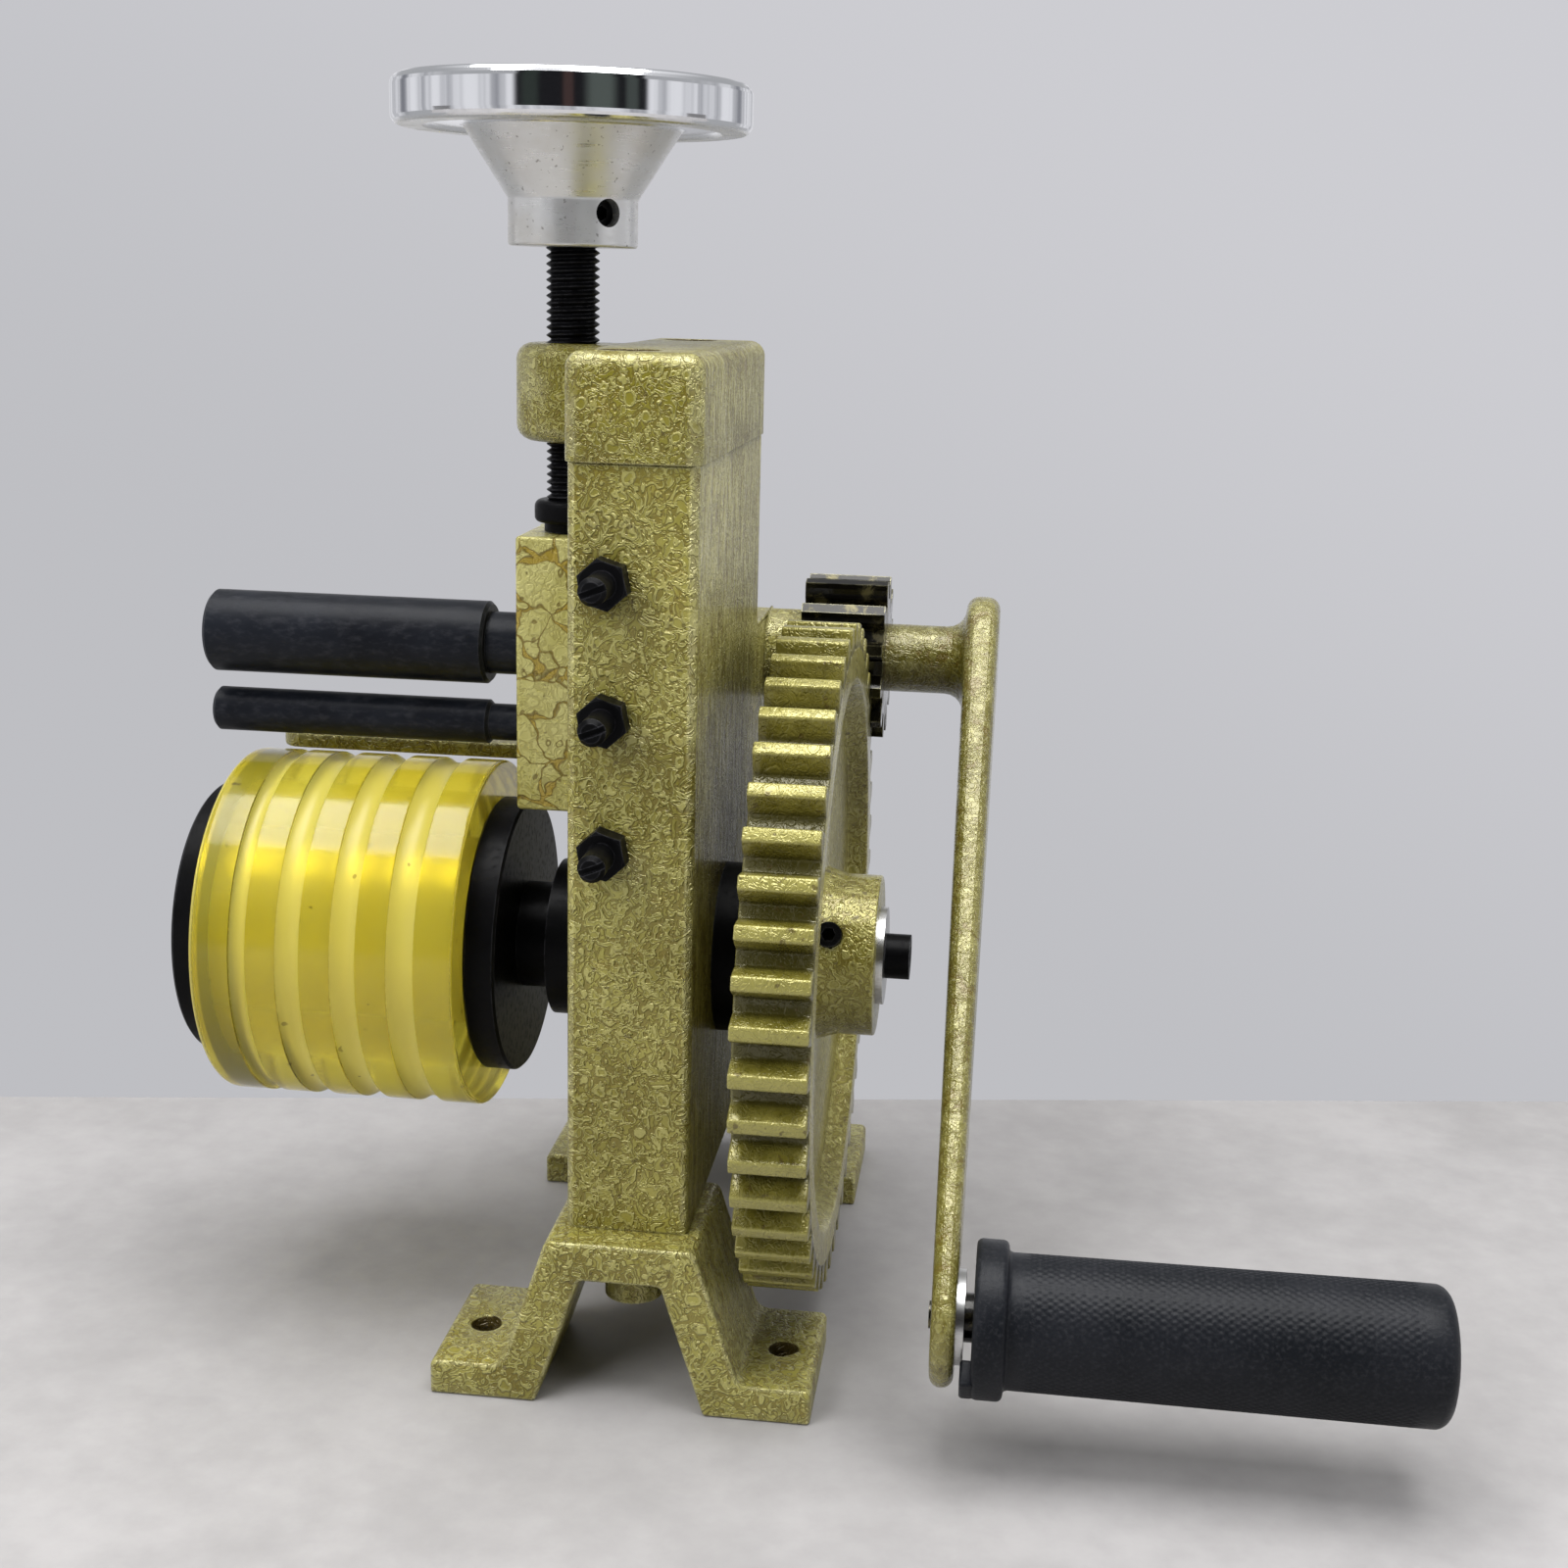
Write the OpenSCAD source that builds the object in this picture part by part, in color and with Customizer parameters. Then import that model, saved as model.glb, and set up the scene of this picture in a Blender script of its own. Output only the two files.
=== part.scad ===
// Hand cranked bench machine that bends strip and wire into rings and bracelets.
// A geared rubber-faced roller drives the strip round a mandrel, and a screw
// and handwheel set the mandrel's height above the roller.
// Millimetres, +Z up, -Y is the front, +X is the crank side. The origin is on the
// bench, in the middle of the four bench holes.

/* [Feet] */
// Width of a foot across its two bench pads
foot_width = 116; // [108:1:130]
// Depth of a foot, front to back
foot_depth = 50; // [40:1:60]
// Height of a foot, which is where the column stands
foot_height = 53; // [48:0.5:65]
// Thickness of a bench pad
foot_pad = 11; // [8:0.5:14]
// Width of the flat top of a foot
foot_top_width = 45; // [40:1:54]
// Thickness of the arch under the column
foot_web = 12; // [9:0.5:14]
// Thickness of an arch leg, measured across
foot_leg = 10.3; // [8:0.1:13]
// How far the front foot stands out before the column
foot_step_front = 11.25; // [4:0.25:16]
// How far the rear foot stands out behind the column
foot_step_rear = 8; // [2:0.25:14]
// Diameter of a bench hole
bench_hole_d = 9; // [6:0.5:11]
// Distance between the two holes of one foot
bench_hole_pitch = 94; // [90:1:98]
// Diameter of the screw that holds a foot
foot_screw_d = 12; // [8:0.5:13]

/* [Column] */
// Width of the column
column_width = 37; // [33:0.5:44]
// Depth of the upper part of the column
neck_depth = 129.5; // [120:0.5:150]
// Radius of the column's upright edges
column_edge = 3; // [1:0.5:5]
// Diameter of the boss round the pinion shaft
pinion_boss_d = 32; // [28:0.5:38]
// Length of that boss beyond the column
pinion_boss_length = 13; // [9:0.5:14]

/* [Top cap] */
// Height of the cap
cap_height = 30.2; // [26:0.1:36]
// How far the cap stands out past the column on each side
cap_overhang = 1; // [0:0.25:3]
// Radius of the cap's edges
cap_edge = 5; // [2:0.5:8]
// Diameter of the cap's boss round the lead screw
cap_boss_d = 34; // [28:0.5:40]
// Distance of a cap screw from the column's front or back
cap_screw_inset = 14.25; // [12:0.25:20]
// Diameter of a cap screw
cap_screw_d = 10; // [8:0.5:11]

/* [Slide] */
// Width of the slide block, front to back
slide_width = 34.8; // [30:0.2:38]
// Height of the slide above the large mandrel
slide_above = 35.8; // [33:0.2:36]
// Height of the slide below the small mandrel
slide_below = 23.7; // [14:0.1:25]
// How far the slide can rise before the lead screw's collar meets the cap
lift_travel = 17.8; // [12:0.1:30]
// Gap between the slide and the roller's inner disc
slide_clear = 0.6; // [0.4:0.1:2]
// Width of the dovetail tongue at the column's face
tongue_neck = 21; // [19:0.5:23]
// Depth of the dovetail tongue
tongue_depth = 17.5; // [16:0.25:19]
// Thickness of the gib strip, front to back
gib_thickness = 6; // [5:0.25:8]
// Diameter of a gib screw
gib_screw_d = 8; // [6:0.5:9]
// Distance between gib screws
gib_screw_pitch = 38.7; // [34:0.1:40]

/* [Lead screw and handwheel] */
// Diameter of the lead screw
screw_d = 16; // [14:0.5:18]
// Distance of the screw's axis from the column's face
screw_offset = 12.5; // [11.5:0.1:13.5]
// Diameter of the screw's thrust collar
thrust_collar_d = 23.4; // [21:0.2:25]
// Height of the thrust collar
thrust_collar_height = 9.7; // [6:0.1:11]
// Height of the handwheel's hub above the cap
wheel_clearance = 27.5; // [22:0.1:34]
// Diameter of the handwheel
wheel_d = 106; // [90:1:125]
// Height of the handwheel's rim
wheel_rim = 14; // [11:0.5:18]
// Diameter of the handwheel's hub
wheel_hub_d = 38.6; // [32:0.2:44]
// Length of the straight part of the hub
wheel_hub_length = 13.7; // [11:0.1:18]
// Height of the cone between the hub and the rim
wheel_cone_height = 20.4; // [16:0.1:26]
// Diameter of the top of that cone
wheel_cone_d = 65; // [56:0.5:72]

/* [Roller] */
// Diameter of the roller
roller_d = 111.4; // [100:0.2:116]
// Length of the roller
roller_length = 82.4; // [78:0.2:96]
// Diameter of the metal core inside the roller
core_d = 60; // [45:1:70]
// Diameter of the two side discs
disc_d = 88; // [76:1:96]
// Thickness of a side disc
disc_thickness = 10; // [7:0.5:13]
// Widths of the roller's grooves, from the free end
groove_widths = [5.5, 7.9, 8.5, 9]; // [4:0.1:10]
// Depth of the roller's grooves
groove_depth = 1.7; // [1:0.1:2.2]
// Plain length before the first groove
groove_start = 12.9; // [9:0.1:14]
// Plain length between two grooves
groove_land = 9; // [7:0.1:10]
// Diameter of the shaft in its bushes
journal_d = 25; // [22:0.5:28]
// Thickness of the left bush's flange
left_flange = 16; // [10:0.5:18]
// Diameter of the left bush's flange
left_flange_d = 50; // [44:0.5:56]
// Thickness of the right bush's flange
right_flange = 11.2; // [7:0.1:13]
// Diameter of the right bush's flange
right_flange_d = 54; // [46:0.5:60]
// Length of the shaft's collar between the left bush and the disc
shaft_collar = 10.8; // [9:0.1:14]

/* [Mandrels] */
// Diameter of the large mandrel
large_d = 25.9; // [23:0.1:28]
// Diameter of the small mandrel
small_d = 14; // [12:0.1:18]
// Distance between the two mandrels
mandrel_pitch = 25.4; // [24.4:0.1:26.4]
// Length of a mandrel's working part
mandrel_length = 90; // [80:0.5:100]
// Length of the neck between a mandrel and the slide
mandrel_neck = 11.5; // [9:0.5:14]
// Gap between the small mandrel and the roller
bend_gap = 7; // [5:0.1:9]

/* [Gears] */
// Gear module: pitch diameter over teeth
gear_module = 4.25; // [4.2:0.01:4.35]
// Teeth on the drive gear
gear_teeth = 48; // [48:1:49]
// Teeth on the pinion
pinion_teeth = 12; // [12:1:13]
// Play between the teeth, along the pitch circle
backlash = 0.5; // [0.4:0.05:0.8]
// Room between the bench and the drive gear, for teeth of full height
gear_lift = 16.75; // [14:0.25:24]
// How far the pinion's axis lies behind the roller's axis
pinion_back = 101; // [99:0.5:106]
// Width of the drive gear's teeth
gear_face = 22; // [18:0.5:24]
// Width of the pinion's teeth
pinion_face = 29; // [26:0.5:32]
// Diameter of the drive gear's hub
gear_hub_d = 51; // [44:0.5:58]
// Length of the hub towards the column
gear_hub_inner = 5.2; // [4:0.1:7]
// Length of the hub on the outer side
gear_hub_outer = 11.2; // [9:0.1:14]
// Depth of the web below the rim, on each side
gear_recess = 7; // [4:0.25:7.5]
// Thickness of the rim below the teeth
gear_rim = 10.5; // [8:0.25:14]

/* [Crank and grip] */
// Diameter of the pinion shaft
pinion_shaft_d = 16; // [14:0.5:17]
// Diameter of the crank's hub
crank_hub_d = 24; // [23:0.5:30]
// Length of the crank's hub
crank_hub_length = 27.6; // [22:0.1:32]
// Distance from the pinion shaft to the grip
crank_length = 242; // [200:1:260]
// Angle at which the crank is parked, forward from straight down
crank_rest = 49.6; // [0:0.1:90]
// Thickness of the arm at the hub
arm_thickness = 11.7; // [9:0.1:14]
// Thickness that the arm loses towards the grip
arm_taper = 4.7; // [0:0.1:6]
// Radius of the arm's end at the hub
arm_hub_radius = 23; // [22:0.5:28]
// Radius of the arm's end at the grip
arm_grip_radius = 20; // [15:0.5:22]
// Diameter of the spindle inside the grip
spindle_d = 14; // [12:0.5:16]
// Diameter of the grip
grip_d = 38.4; // [34:0.2:42]
// How much wider the grip is at its free end
grip_swell = 1.2; // [0:0.1:3]
// Length of the grip beyond its flange
grip_length = 123; // [110:0.5:135]
// Diameter of the grip's flange
grip_flange_d = 45; // [43:0.2:50]
// Thickness of the grip's flange
grip_flange = 9.3; // [6:0.1:11]

/* [Hidden] */
$fn = 64;

// Clearances: fixed fits, running fits, running end faces and the dovetail
fit_gap = 0.02;
run_fit = 0.05;
run_gap = 0.3;
slide_gap = 0.15;
// Past a face, so that a cut goes right through it
over = 1;

// Paint and metals as they look
paint = [0.60, 0.57, 0.28];
black_steel = [0.10, 0.10, 0.11];
bright_steel = [0.74, 0.74, 0.73];
chrome = [0.86, 0.87, 0.88];
bronze = [0.66, 0.46, 0.22];
amber = [0.93, 0.74, 0.10];
oily_steel = [0.30, 0.27, 0.20];
rubber = [0.07, 0.07, 0.07];

// Places along Y, first from the roller's axis and then from the middle of the feet
roller_z = gear_lift + gear_module * (gear_teeth + 2) / 2;
gear_centres = gear_module * (gear_teeth + pinion_teeth) / 2;
neck_front = -neck_depth / 2;
column_rear = pinion_back + pinion_boss_d / 2;
front_foot_place = neck_front - foot_step_front + foot_depth / 2;
rear_foot_place = column_rear + foot_step_rear - foot_depth / 2;
axis_y = -(front_foot_place + rear_foot_place) / 2;
front_y = axis_y + neck_front;
rear_y = axis_y + column_rear;
pinion_y = axis_y + pinion_back;
pinion_z = roller_z + sqrt(gear_centres * gear_centres - pinion_back * pinion_back);

// Places along Z: the cap's boss stands a little above the column's top
boss_lift = 0.7;
slot_spare = 17;
small_z = roller_z + roller_d / 2 + bend_gap + small_d / 2;
large_z = small_z + mandrel_pitch;
slide_bottom = small_z - slide_below;
slide_top = large_z + slide_above;
slot_bottom = slide_bottom - slot_spare;
column_top = slide_top + run_gap + thrust_collar_height + lift_travel - boss_lift;
column_height = column_top - foot_height;
cap_top = column_top + cap_height;
wheel_bottom = cap_top + wheel_clearance;
rim_bottom = wheel_bottom + wheel_hub_length + wheel_cone_height - 1;
rim_top = rim_bottom + wheel_rim;
dish_depth = 5;

// Places along X, from the column's two faces outwards
left_face = -column_width / 2;
right_face = column_width / 2;
screw_x = left_face - screw_offset;
collar_right = left_face - left_flange - run_gap;
disc_right = collar_right - shaft_collar;
roller_right = disc_right - disc_thickness;
roller_left = roller_right - roller_length;
outer_left = roller_left - disc_thickness;
slide_left = disc_right + slide_clear;
slide_right = left_face - slide_gap;
gear_hub_left = right_face + right_flange + run_gap;
gear_left = gear_hub_left + gear_hub_inner;
gear_right = gear_left + gear_face;
gear_hub_right = gear_right + gear_hub_outer;
pinion_left = right_face + pinion_boss_length + run_gap;
pinion_right = pinion_left + pinion_face;
arm_left = pinion_right + crank_hub_length;
arm_right = arm_left + arm_thickness;

// Roller shaft: the spigot under the roller and the seat of the gear
spigot_d = journal_d - 3;
seat_d = journal_d - 5;
bush_wall = 4.5;
bush_length = 15;
bush_d = journal_d + 2 * bush_wall;
end_washer_d = 36;
end_washer = 3;
end_bolt_d = 10;
end_bolt_head = 10;
end_bolt_depth = 26;
gear_washer_d = 31;
gear_washer_t = 2.2;
gear_bolt_d = 9.5;
gear_bolt_head_d = 14.3;
gear_bolt_head = 7.8;
shaft_end_gap = 0.4;
key_w = 6;
key_in_shaft = 3.5;
key_in_hub = 2.5;
key_angle = 150;
key_length = gear_face;
set_screw_d = 8;
set_screw_x = gear_right - gear_recess + set_screw_d / 2;
set_screw_proud = 2;

// Gear teeth
pressure_angle = 20;
addendum = 0.75 * gear_module;
dedendum = gear_module;
flank_steps = 3;
centre_angle = atan2(pinion_z - roller_z, pinion_back);
// How far the gear has turned from a tooth on the line of centres
gear_turn = 1.7;
pinion_turn = -gear_turn * gear_teeth / pinion_teeth;

// Dovetail: the half width of the tongue at a depth inside the column
dovetail_angle = 30;
slot_depth = tongue_depth + 0.5;
gib_inset = 0.6;
gib_point_d = 5;
gib_point_sink = 1;
gib_screw_x = left_face + 11.5;
gib_screw_proud = 20;
gib_nut = 6.5;
gib_nut_across = 13;
gib_nut_angle = 18;
gib_nut_flare = gib_nut / tan(30);
gib_slot_angle = -22;
gib_screw_bevel = 1.2;
gib_screw_top = slide_top - 5.5;
function tongue_half(depth) = tongue_neck / 2 + depth * tan(dovetail_angle);
gib_face = tongue_half(gib_screw_x - left_face) + slide_gap + gib_thickness;

// Slide: the screw's plain end, its keeper pins, and the mandrels' journals
screw_end_d = screw_d - 3;
screw_end_length = 22;
keeper_d = 4;
keeper_groove_r = 4.3;
keeper_z = slide_top - 11;
keeper_offset = keeper_groove_r + run_gap + keeper_d / 2;
keeper_blind = 5.4;
large_neck_d = large_d - 6.4;
small_neck_d = small_d - 2.4;
large_journal_d = large_neck_d - 2.5;
small_journal_d = small_neck_d - 2.1;
clip_thickness = 1.4;
clip_groove = 1;
clip_rim = 2;
clip_pocket = 9;
pocket_gap = 0.8;
clip_x = left_face + tongue_depth - clip_pocket + run_gap;
journal_end = clip_x + clip_thickness + 3;
mandrel_chamfer = 1;

// Strip rest: a flat bar behind the mandrels, screwed to the column
rest_clear = 2.6;
rest_above_roller = 0.9;
rest_width = 20;
rest_thickness = 5;
rest_reach = 116.5;
rest_leg = 32;
rest_corner = 7;
rest_front = slide_width / 2 + rest_clear;
rest_bottom = roller_z + sqrt(roller_d * roller_d / 4 - rest_front * rest_front) + rest_above_roller;
rest_screw_d = 5;
rest_screw_depth = 10;
rest_screw_low = 13;
rest_screw_high = 25;

// Handwheel fixing, pinion shaft fixings and grip fixings
wheel_screw_angle = -45;
wheel_screw_d = 8;
wheel_screw_z = wheel_bottom + 9.7;
ring_d = 28;
ring_length = 10;
ring_screw_d = 6;
pinion_bush_d = pinion_shaft_d + 4;
pinion_key_w = 5;
pinion_key_length = 21;
pinion_key_in = 3;
pinion_key_out = 2;
arm_edge = 4.5;
crank_flare = arm_hub_radius - arm_edge - crank_hub_d / 2;
crank_screw_d = 8;
grip_washer_d = 27;
grip_washer_t = 2.2;
grip_neck = 2.5;
grip_left = arm_right + grip_washer_t + grip_neck;
grip_right = grip_left + grip_flange + grip_length;
grip_tenon_d = 8;
grip_tenon_proud = 1;
grip_tube_d = spindle_d + 8;
grip_end_wall = 8;
grip_end_radius = 9;
grip_cavity = 6;
grip_tube_end = grip_right - grip_end_wall - grip_cavity;
grip_tab_low = 23;
grip_tab_high = 14.4;
grip_tab_w = 11;
grip_tab_proud = 3;

// A path with its corners rounded: each point has its own radius, and 0 leaves it sharp
corner_steps = 5;
function unit(v) = v / norm(v);
function corner(before, at, after, r) =
    let (a = unit(before - at), b = unit(after - at))
    let (half = acos(a * b) / 2)
    let (centre = at + unit(a + b) * r / sin(half))
    let (from = at + a * r / tan(half) - centre, to = at + b * r / tan(half) - centre)
    let (start = atan2(from.y, from.x))
    let (turn = (atan2(to.y, to.x) - start + 540) % 360 - 180)
    [for (i = [0:corner_steps])
        let (t = start + turn * i / corner_steps) centre + r * [cos(t), sin(t)]];
function rounded(path, radii) =
    let (n = len(path))
    [for (i = [0:n - 1])
        let (before = path[(i + n - 1) % n], after = path[(i + 1) % n])
        each radii[i] > 0 ? corner(before, path[i], after, radii[i]) : [path[i]]];

// An involute tooth outline in the Y-Z plane, with one tooth's middle at the angle first
function involute(a) = tan(a) * 180 / PI - a;
function flank(r, teeth) =
    let (pitch = gear_module * teeth / 2)
    let (base = pitch * cos(pressure_angle))
    90 / teeth - backlash / (4 * pitch) * 180 / PI
        + involute(pressure_angle) - involute(acos(min(1, base / r)));
function tooth_side(teeth) =
    let (pitch = gear_module * teeth / 2)
    let (base = pitch * cos(pressure_angle), root = pitch - dedendum, tip = pitch + addendum)
    let (low = max(base, root))
    concat(
        root < base ? [[root, flank(low, teeth)]] : [],
        [for (i = [0:flank_steps]) let (r = low + (tip - low) * i / flank_steps) [r, flank(r, teeth)]]);
function tooth(teeth) =
    let (side = tooth_side(teeth))
    concat(
        [for (p = side) [p[0], -p[1]]],
        [for (i = [len(side) - 1:-1:0]) side[i]]);
function gear_outline(teeth, first) =
    [for (i = [0:teeth - 1]) for (p = tooth(teeth))
        let (t = first + 360 * i / teeth + p[1]) p[0] * [cos(t), sin(t)]];

// Shapes along X, and the axes that the pieces turn on
module rod(x0, x1, d) {
    translate([x0, 0, 0]) rotate([0, 90, 0]) cylinder(h = x1 - x0, d = d);
}
module pipe(x0, x1, d, bore) {
    difference() {
        rod(x0, x1, d);
        rod(x0 - over, x1 + over, bore);
    }
}
module along_x(length) {
    rotate([90, 0, 90]) linear_extrude(length) children();
}
module turned() {
    rotate([0, 90, 0]) rotate_extrude() children();
}
module radial(angle) {
    rotate([angle, 0, 0]) rotate([-90, 0, 0]) children();
}
module at_roller() {
    translate([0, axis_y, roller_z]) children();
}
module at_pinion() {
    translate([0, pinion_y, pinion_z]) children();
}
module at_crank() {
    at_pinion() rotate([-crank_rest, 0, 0]) children();
}
module at_grip() {
    at_crank() translate([0, 0, -crank_length]) children();
}
module at_screw() {
    translate([screw_x, axis_y, 0]) children();
}
module at_mandrel(z) {
    translate([0, axis_y, z]) children();
}

// A rectangle with round corners, and a box with round edges that stands flat
module round_rect(w, h, r) {
    square([w - 2 * r, h], center = true);
    square([w, h - 2 * r], center = true);
    for (x = [-1, 1], y = [-1, 1])
        translate([x * (w / 2 - r), y * (h / 2 - r)]) circle(r = r);
}
module round_top_box(w, d, h, r) {
    hull() for (x = [-1, 1], y = [-1, 1])
        translate([x * (w / 2 - r), y * (d / 2 - r), 0]) {
            cylinder(h = r, r = r, $fn = 24);
            translate([0, 0, h - r]) sphere(r = r, $fn = 24);
        }
}

// A socket head screw that points up, with its head's underside at z = 0
module cap_screw(d, length, head_d, head) {
    socket = head_d * 0.55;
    difference() {
        union() {
            cylinder(h = length, d = d);
            translate([0, 0, -head]) cylinder(h = head, d = head_d);
        }
        translate([0, 0, -head - over]) cylinder(h = head / 2 + over, d = socket, $fn = 6);
    }
}
// A headless screw that points up from its socket at z = 0
module grub_screw(d, length) {
    difference() {
        cylinder(h = length, d = d);
        translate([0, 0, -over]) cylinder(h = min(length / 2, d / 2) + over, d = d * 0.55, $fn = 6);
    }
}

// Feet: an arch with a bench pad on each side
module foot(place) {
    top = foot_top_width / 2;
    leg_out = foot_width / 2 - 22;
    inner_bottom = leg_out - foot_leg;
    inner_top = top - foot_leg;
    outline = [
        [-foot_width / 2, 0], [-foot_width / 2, foot_pad], [-leg_out, foot_pad],
        [-top, foot_height], [top, foot_height],
        [leg_out, foot_pad], [foot_width / 2, foot_pad], [foot_width / 2, 0],
        [inner_bottom, 0], [inner_top, foot_height - foot_web],
        [-inner_top, foot_height - foot_web], [-inner_bottom, 0]
    ];
    radii = [0, 2, 5, 3, 3, 5, 2, 0, 1.5, 2, 2, 1.5];
    color(paint) translate([0, axis_y + place, 0]) difference() {
        rotate([90, 0, 0]) linear_extrude(foot_depth, center = true)
            polygon(rounded(outline, radii));
        for (side = [-1, 1])
            translate([side * bench_hole_pitch / 2, 0, -over])
                cylinder(h = foot_pad + 2 * over, d = bench_hole_d);
        translate([0, 0, foot_height - foot_web - over])
            cylinder(h = foot_web + 2 * over, d = foot_screw_d + 1);
    }
}
foot_washer_t = 2.5;
foot_washer_d = min(1.7 * foot_screw_d, foot_top_width - 2 * foot_leg - 3.4);
foot_screw_grip = 26;
module front_foot() {
    foot(front_foot_place);
}
module rear_foot() {
    foot(rear_foot_place);
}
module each_foot_screw() {
    for (place = [front_foot_place, rear_foot_place])
        translate([0, axis_y + place, foot_height - foot_web]) children();
}
module foot_screws() {
    length = foot_washer_t + foot_web + foot_screw_grip - over;
    color(paint) each_foot_screw() translate([0, 0, -foot_washer_t])
        cap_screw(foot_screw_d, length, foot_screw_d * 1.5, foot_screw_d);
}
module foot_washers() {
    color(paint) each_foot_screw() translate([0, 0, -foot_washer_t]) difference() {
        cylinder(h = foot_washer_t, d = foot_washer_d);
        translate([0, 0, -over]) cylinder(h = foot_washer_t + 2 * over, d = foot_screw_d + 1);
    }
}

// Column: a casting with a narrow neck, a round shoulder at the pinion and a dovetail slot
module column_profile() {
    r = pinion_boss_d / 2;
    shoulder = pinion_z - foot_height;
    neck_rear = neck_depth / 2;
    path = [
        [neck_front, 0], [column_rear, 0], [column_rear, shoulder + r],
        [neck_rear, shoulder + r], [neck_rear, column_height], [neck_front, column_height]
    ];
    polygon(rounded(path, [0, 0, r, 4, 1, 1]));
}
module dovetail_slot() {
    inner = tongue_half(slot_depth) + slide_gap;
    mouth = tongue_half(-over) + slide_gap;
    gib_side = gib_thickness + fit_gap;
    translate([left_face, axis_y, slot_bottom]) linear_extrude(column_top - slot_bottom + over)
        polygon([[-over, mouth], [slot_depth, inner],
            [slot_depth, -inner - gib_side], [-over, -mouth - gib_side]]);
}
module each_gib_screw() {
    for (i = [0:2])
        translate([gib_screw_x, front_y, gib_screw_top - i * gib_screw_pitch])
            rotate([-90, 0, 0]) children();
}
module each_cap_screw() {
    for (side = [-1, 1])
        translate([cap_screw_x, axis_y + side * cap_screw_pitch / 2, column_top]) children();
}
module each_rest_screw() {
    for (z = [rest_screw_low, rest_screw_high])
        translate([left_face, axis_y + rest_front + rest_width / 2, rest_bottom + z]) children();
}
cap_screw_grip = 24;
// The boss is a little smaller than the round shoulder it grows from
boss_step = 0.6;
module column() {
    color(paint) difference() {
        union() {
            intersection() {
                translate([left_face, axis_y, foot_height]) along_x(column_width) column_profile();
                translate([0, (front_y + rear_y) / 2, foot_height])
                    linear_extrude(column_height) round_rect(column_width, rear_y - front_y, column_edge);
            }
            at_pinion()
                rod(right_face - column_edge, right_face + pinion_boss_length, pinion_boss_d - boss_step);
        }
        dovetail_slot();
        at_roller() rod(left_face - over, right_face + over, bush_d + 2 * fit_gap);
        at_pinion()
            rod(left_face - over, right_face + pinion_boss_length + over, pinion_bush_d + 2 * fit_gap);
        each_gib_screw() translate([0, 0, -over])
            cylinder(h = -neck_front - gib_face + gib_thickness, d = gib_screw_d + 2 * fit_gap);
        each_cap_screw() translate([0, 0, -cap_screw_grip])
            cylinder(h = cap_screw_grip + over, d = cap_screw_d + 2 * fit_gap);
        for (place = [front_foot_place, rear_foot_place])
            translate([0, axis_y + place, foot_height - over])
                cylinder(h = foot_screw_grip + over, d = foot_screw_d + 2 * fit_gap);
        each_rest_screw() rod(-over, rest_screw_depth + over, rest_screw_d + 2 * fit_gap);
    }
}

// Top cap: a round-edged bar with a boss for the lead screw and two sunk screws
boss_drop = 0.4;
cap_screw_x = -3.5;
cap_screw_pitch = neck_depth - 2 * cap_screw_inset;
cap_screw_sink = 12;
module top_cap() {
    width = column_width + 2 * cap_overhang;
    depth = neck_depth + 2 * cap_overhang;
    boss_low = column_top + boss_lift;
    boss_high = cap_top - boss_drop;
    r = cap_boss_d / 2;
    section = [[0, boss_low], [r, boss_low], [r, boss_high], [0, boss_high]];
    color(paint) difference() {
        union() {
            translate([0, axis_y, column_top]) round_top_box(width, depth, cap_height, cap_edge);
            hull() for (x = [screw_x, left_face / 2])
                translate([x, axis_y, 0]) rotate_extrude($fn = 40)
                    polygon(rounded(section, [0, cap_edge, cap_edge, 0]));
        }
        at_screw() translate([0, 0, column_top - over])
            cylinder(h = cap_height + 2 * over, d = screw_d + 2 * run_fit);
        each_cap_screw() {
            translate([0, 0, -over]) cylinder(h = cap_height + 2 * over, d = cap_screw_d + 1);
            translate([0, 0, cap_height - cap_screw_sink])
                cylinder(h = cap_screw_sink + over, d = cap_screw_d * 1.6 + 1.5);
        }
    }
}
module cap_screws() {
    length = cap_height - cap_screw_sink + cap_screw_grip - over;
    color(black_steel) each_cap_screw() translate([0, 0, cap_height - cap_screw_sink]) mirror([0, 0, 1])
        cap_screw(cap_screw_d, length, cap_screw_d * 1.6, cap_screw_d);
}

// Gib: a strip in the front of the slot, with three adjusting screws and their nuts
module gib_strip() {
    start = gib_inset;
    end = tongue_depth;
    near = tongue_half(start) + slide_gap;
    far = tongue_half(end) + slide_gap;
    color(bronze) difference() {
        translate([left_face, axis_y, slot_bottom + run_gap])
            linear_extrude(column_top - slot_bottom - 2 * run_gap)
                polygon([[start, -near], [end, -far],
                    [end, -far - gib_thickness], [start, -near - gib_thickness]]);
        each_gib_screw()
            cylinder(h = -neck_front - gib_face + gib_point_sink, d = gib_point_d + 2 * fit_gap);
    }
}
module gib_screws() {
    slot = [gib_screw_d + 2, 1.8, 3.2];
    bevel_end = gib_screw_bevel - gib_screw_proud;
    wide_end = -neck_front - gib_face - (gib_screw_d / 2 + 0.5) * tan(dovetail_angle);
    color(black_steel) each_gib_screw() difference() {
        union() {
            translate([0, 0, bevel_end]) cylinder(h = wide_end - bevel_end, d = gib_screw_d);
            translate([0, 0, -gib_screw_proud])
                cylinder(h = gib_screw_bevel, d1 = gib_screw_d - 2 * gib_screw_bevel, d2 = gib_screw_d);
            cylinder(h = -neck_front - gib_face + gib_point_sink, d = gib_point_d);
        }
        translate([0, 0, -gib_screw_proud]) rotate([0, 0, gib_slot_angle]) cube(slot, center = true);
    }
}
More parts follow.
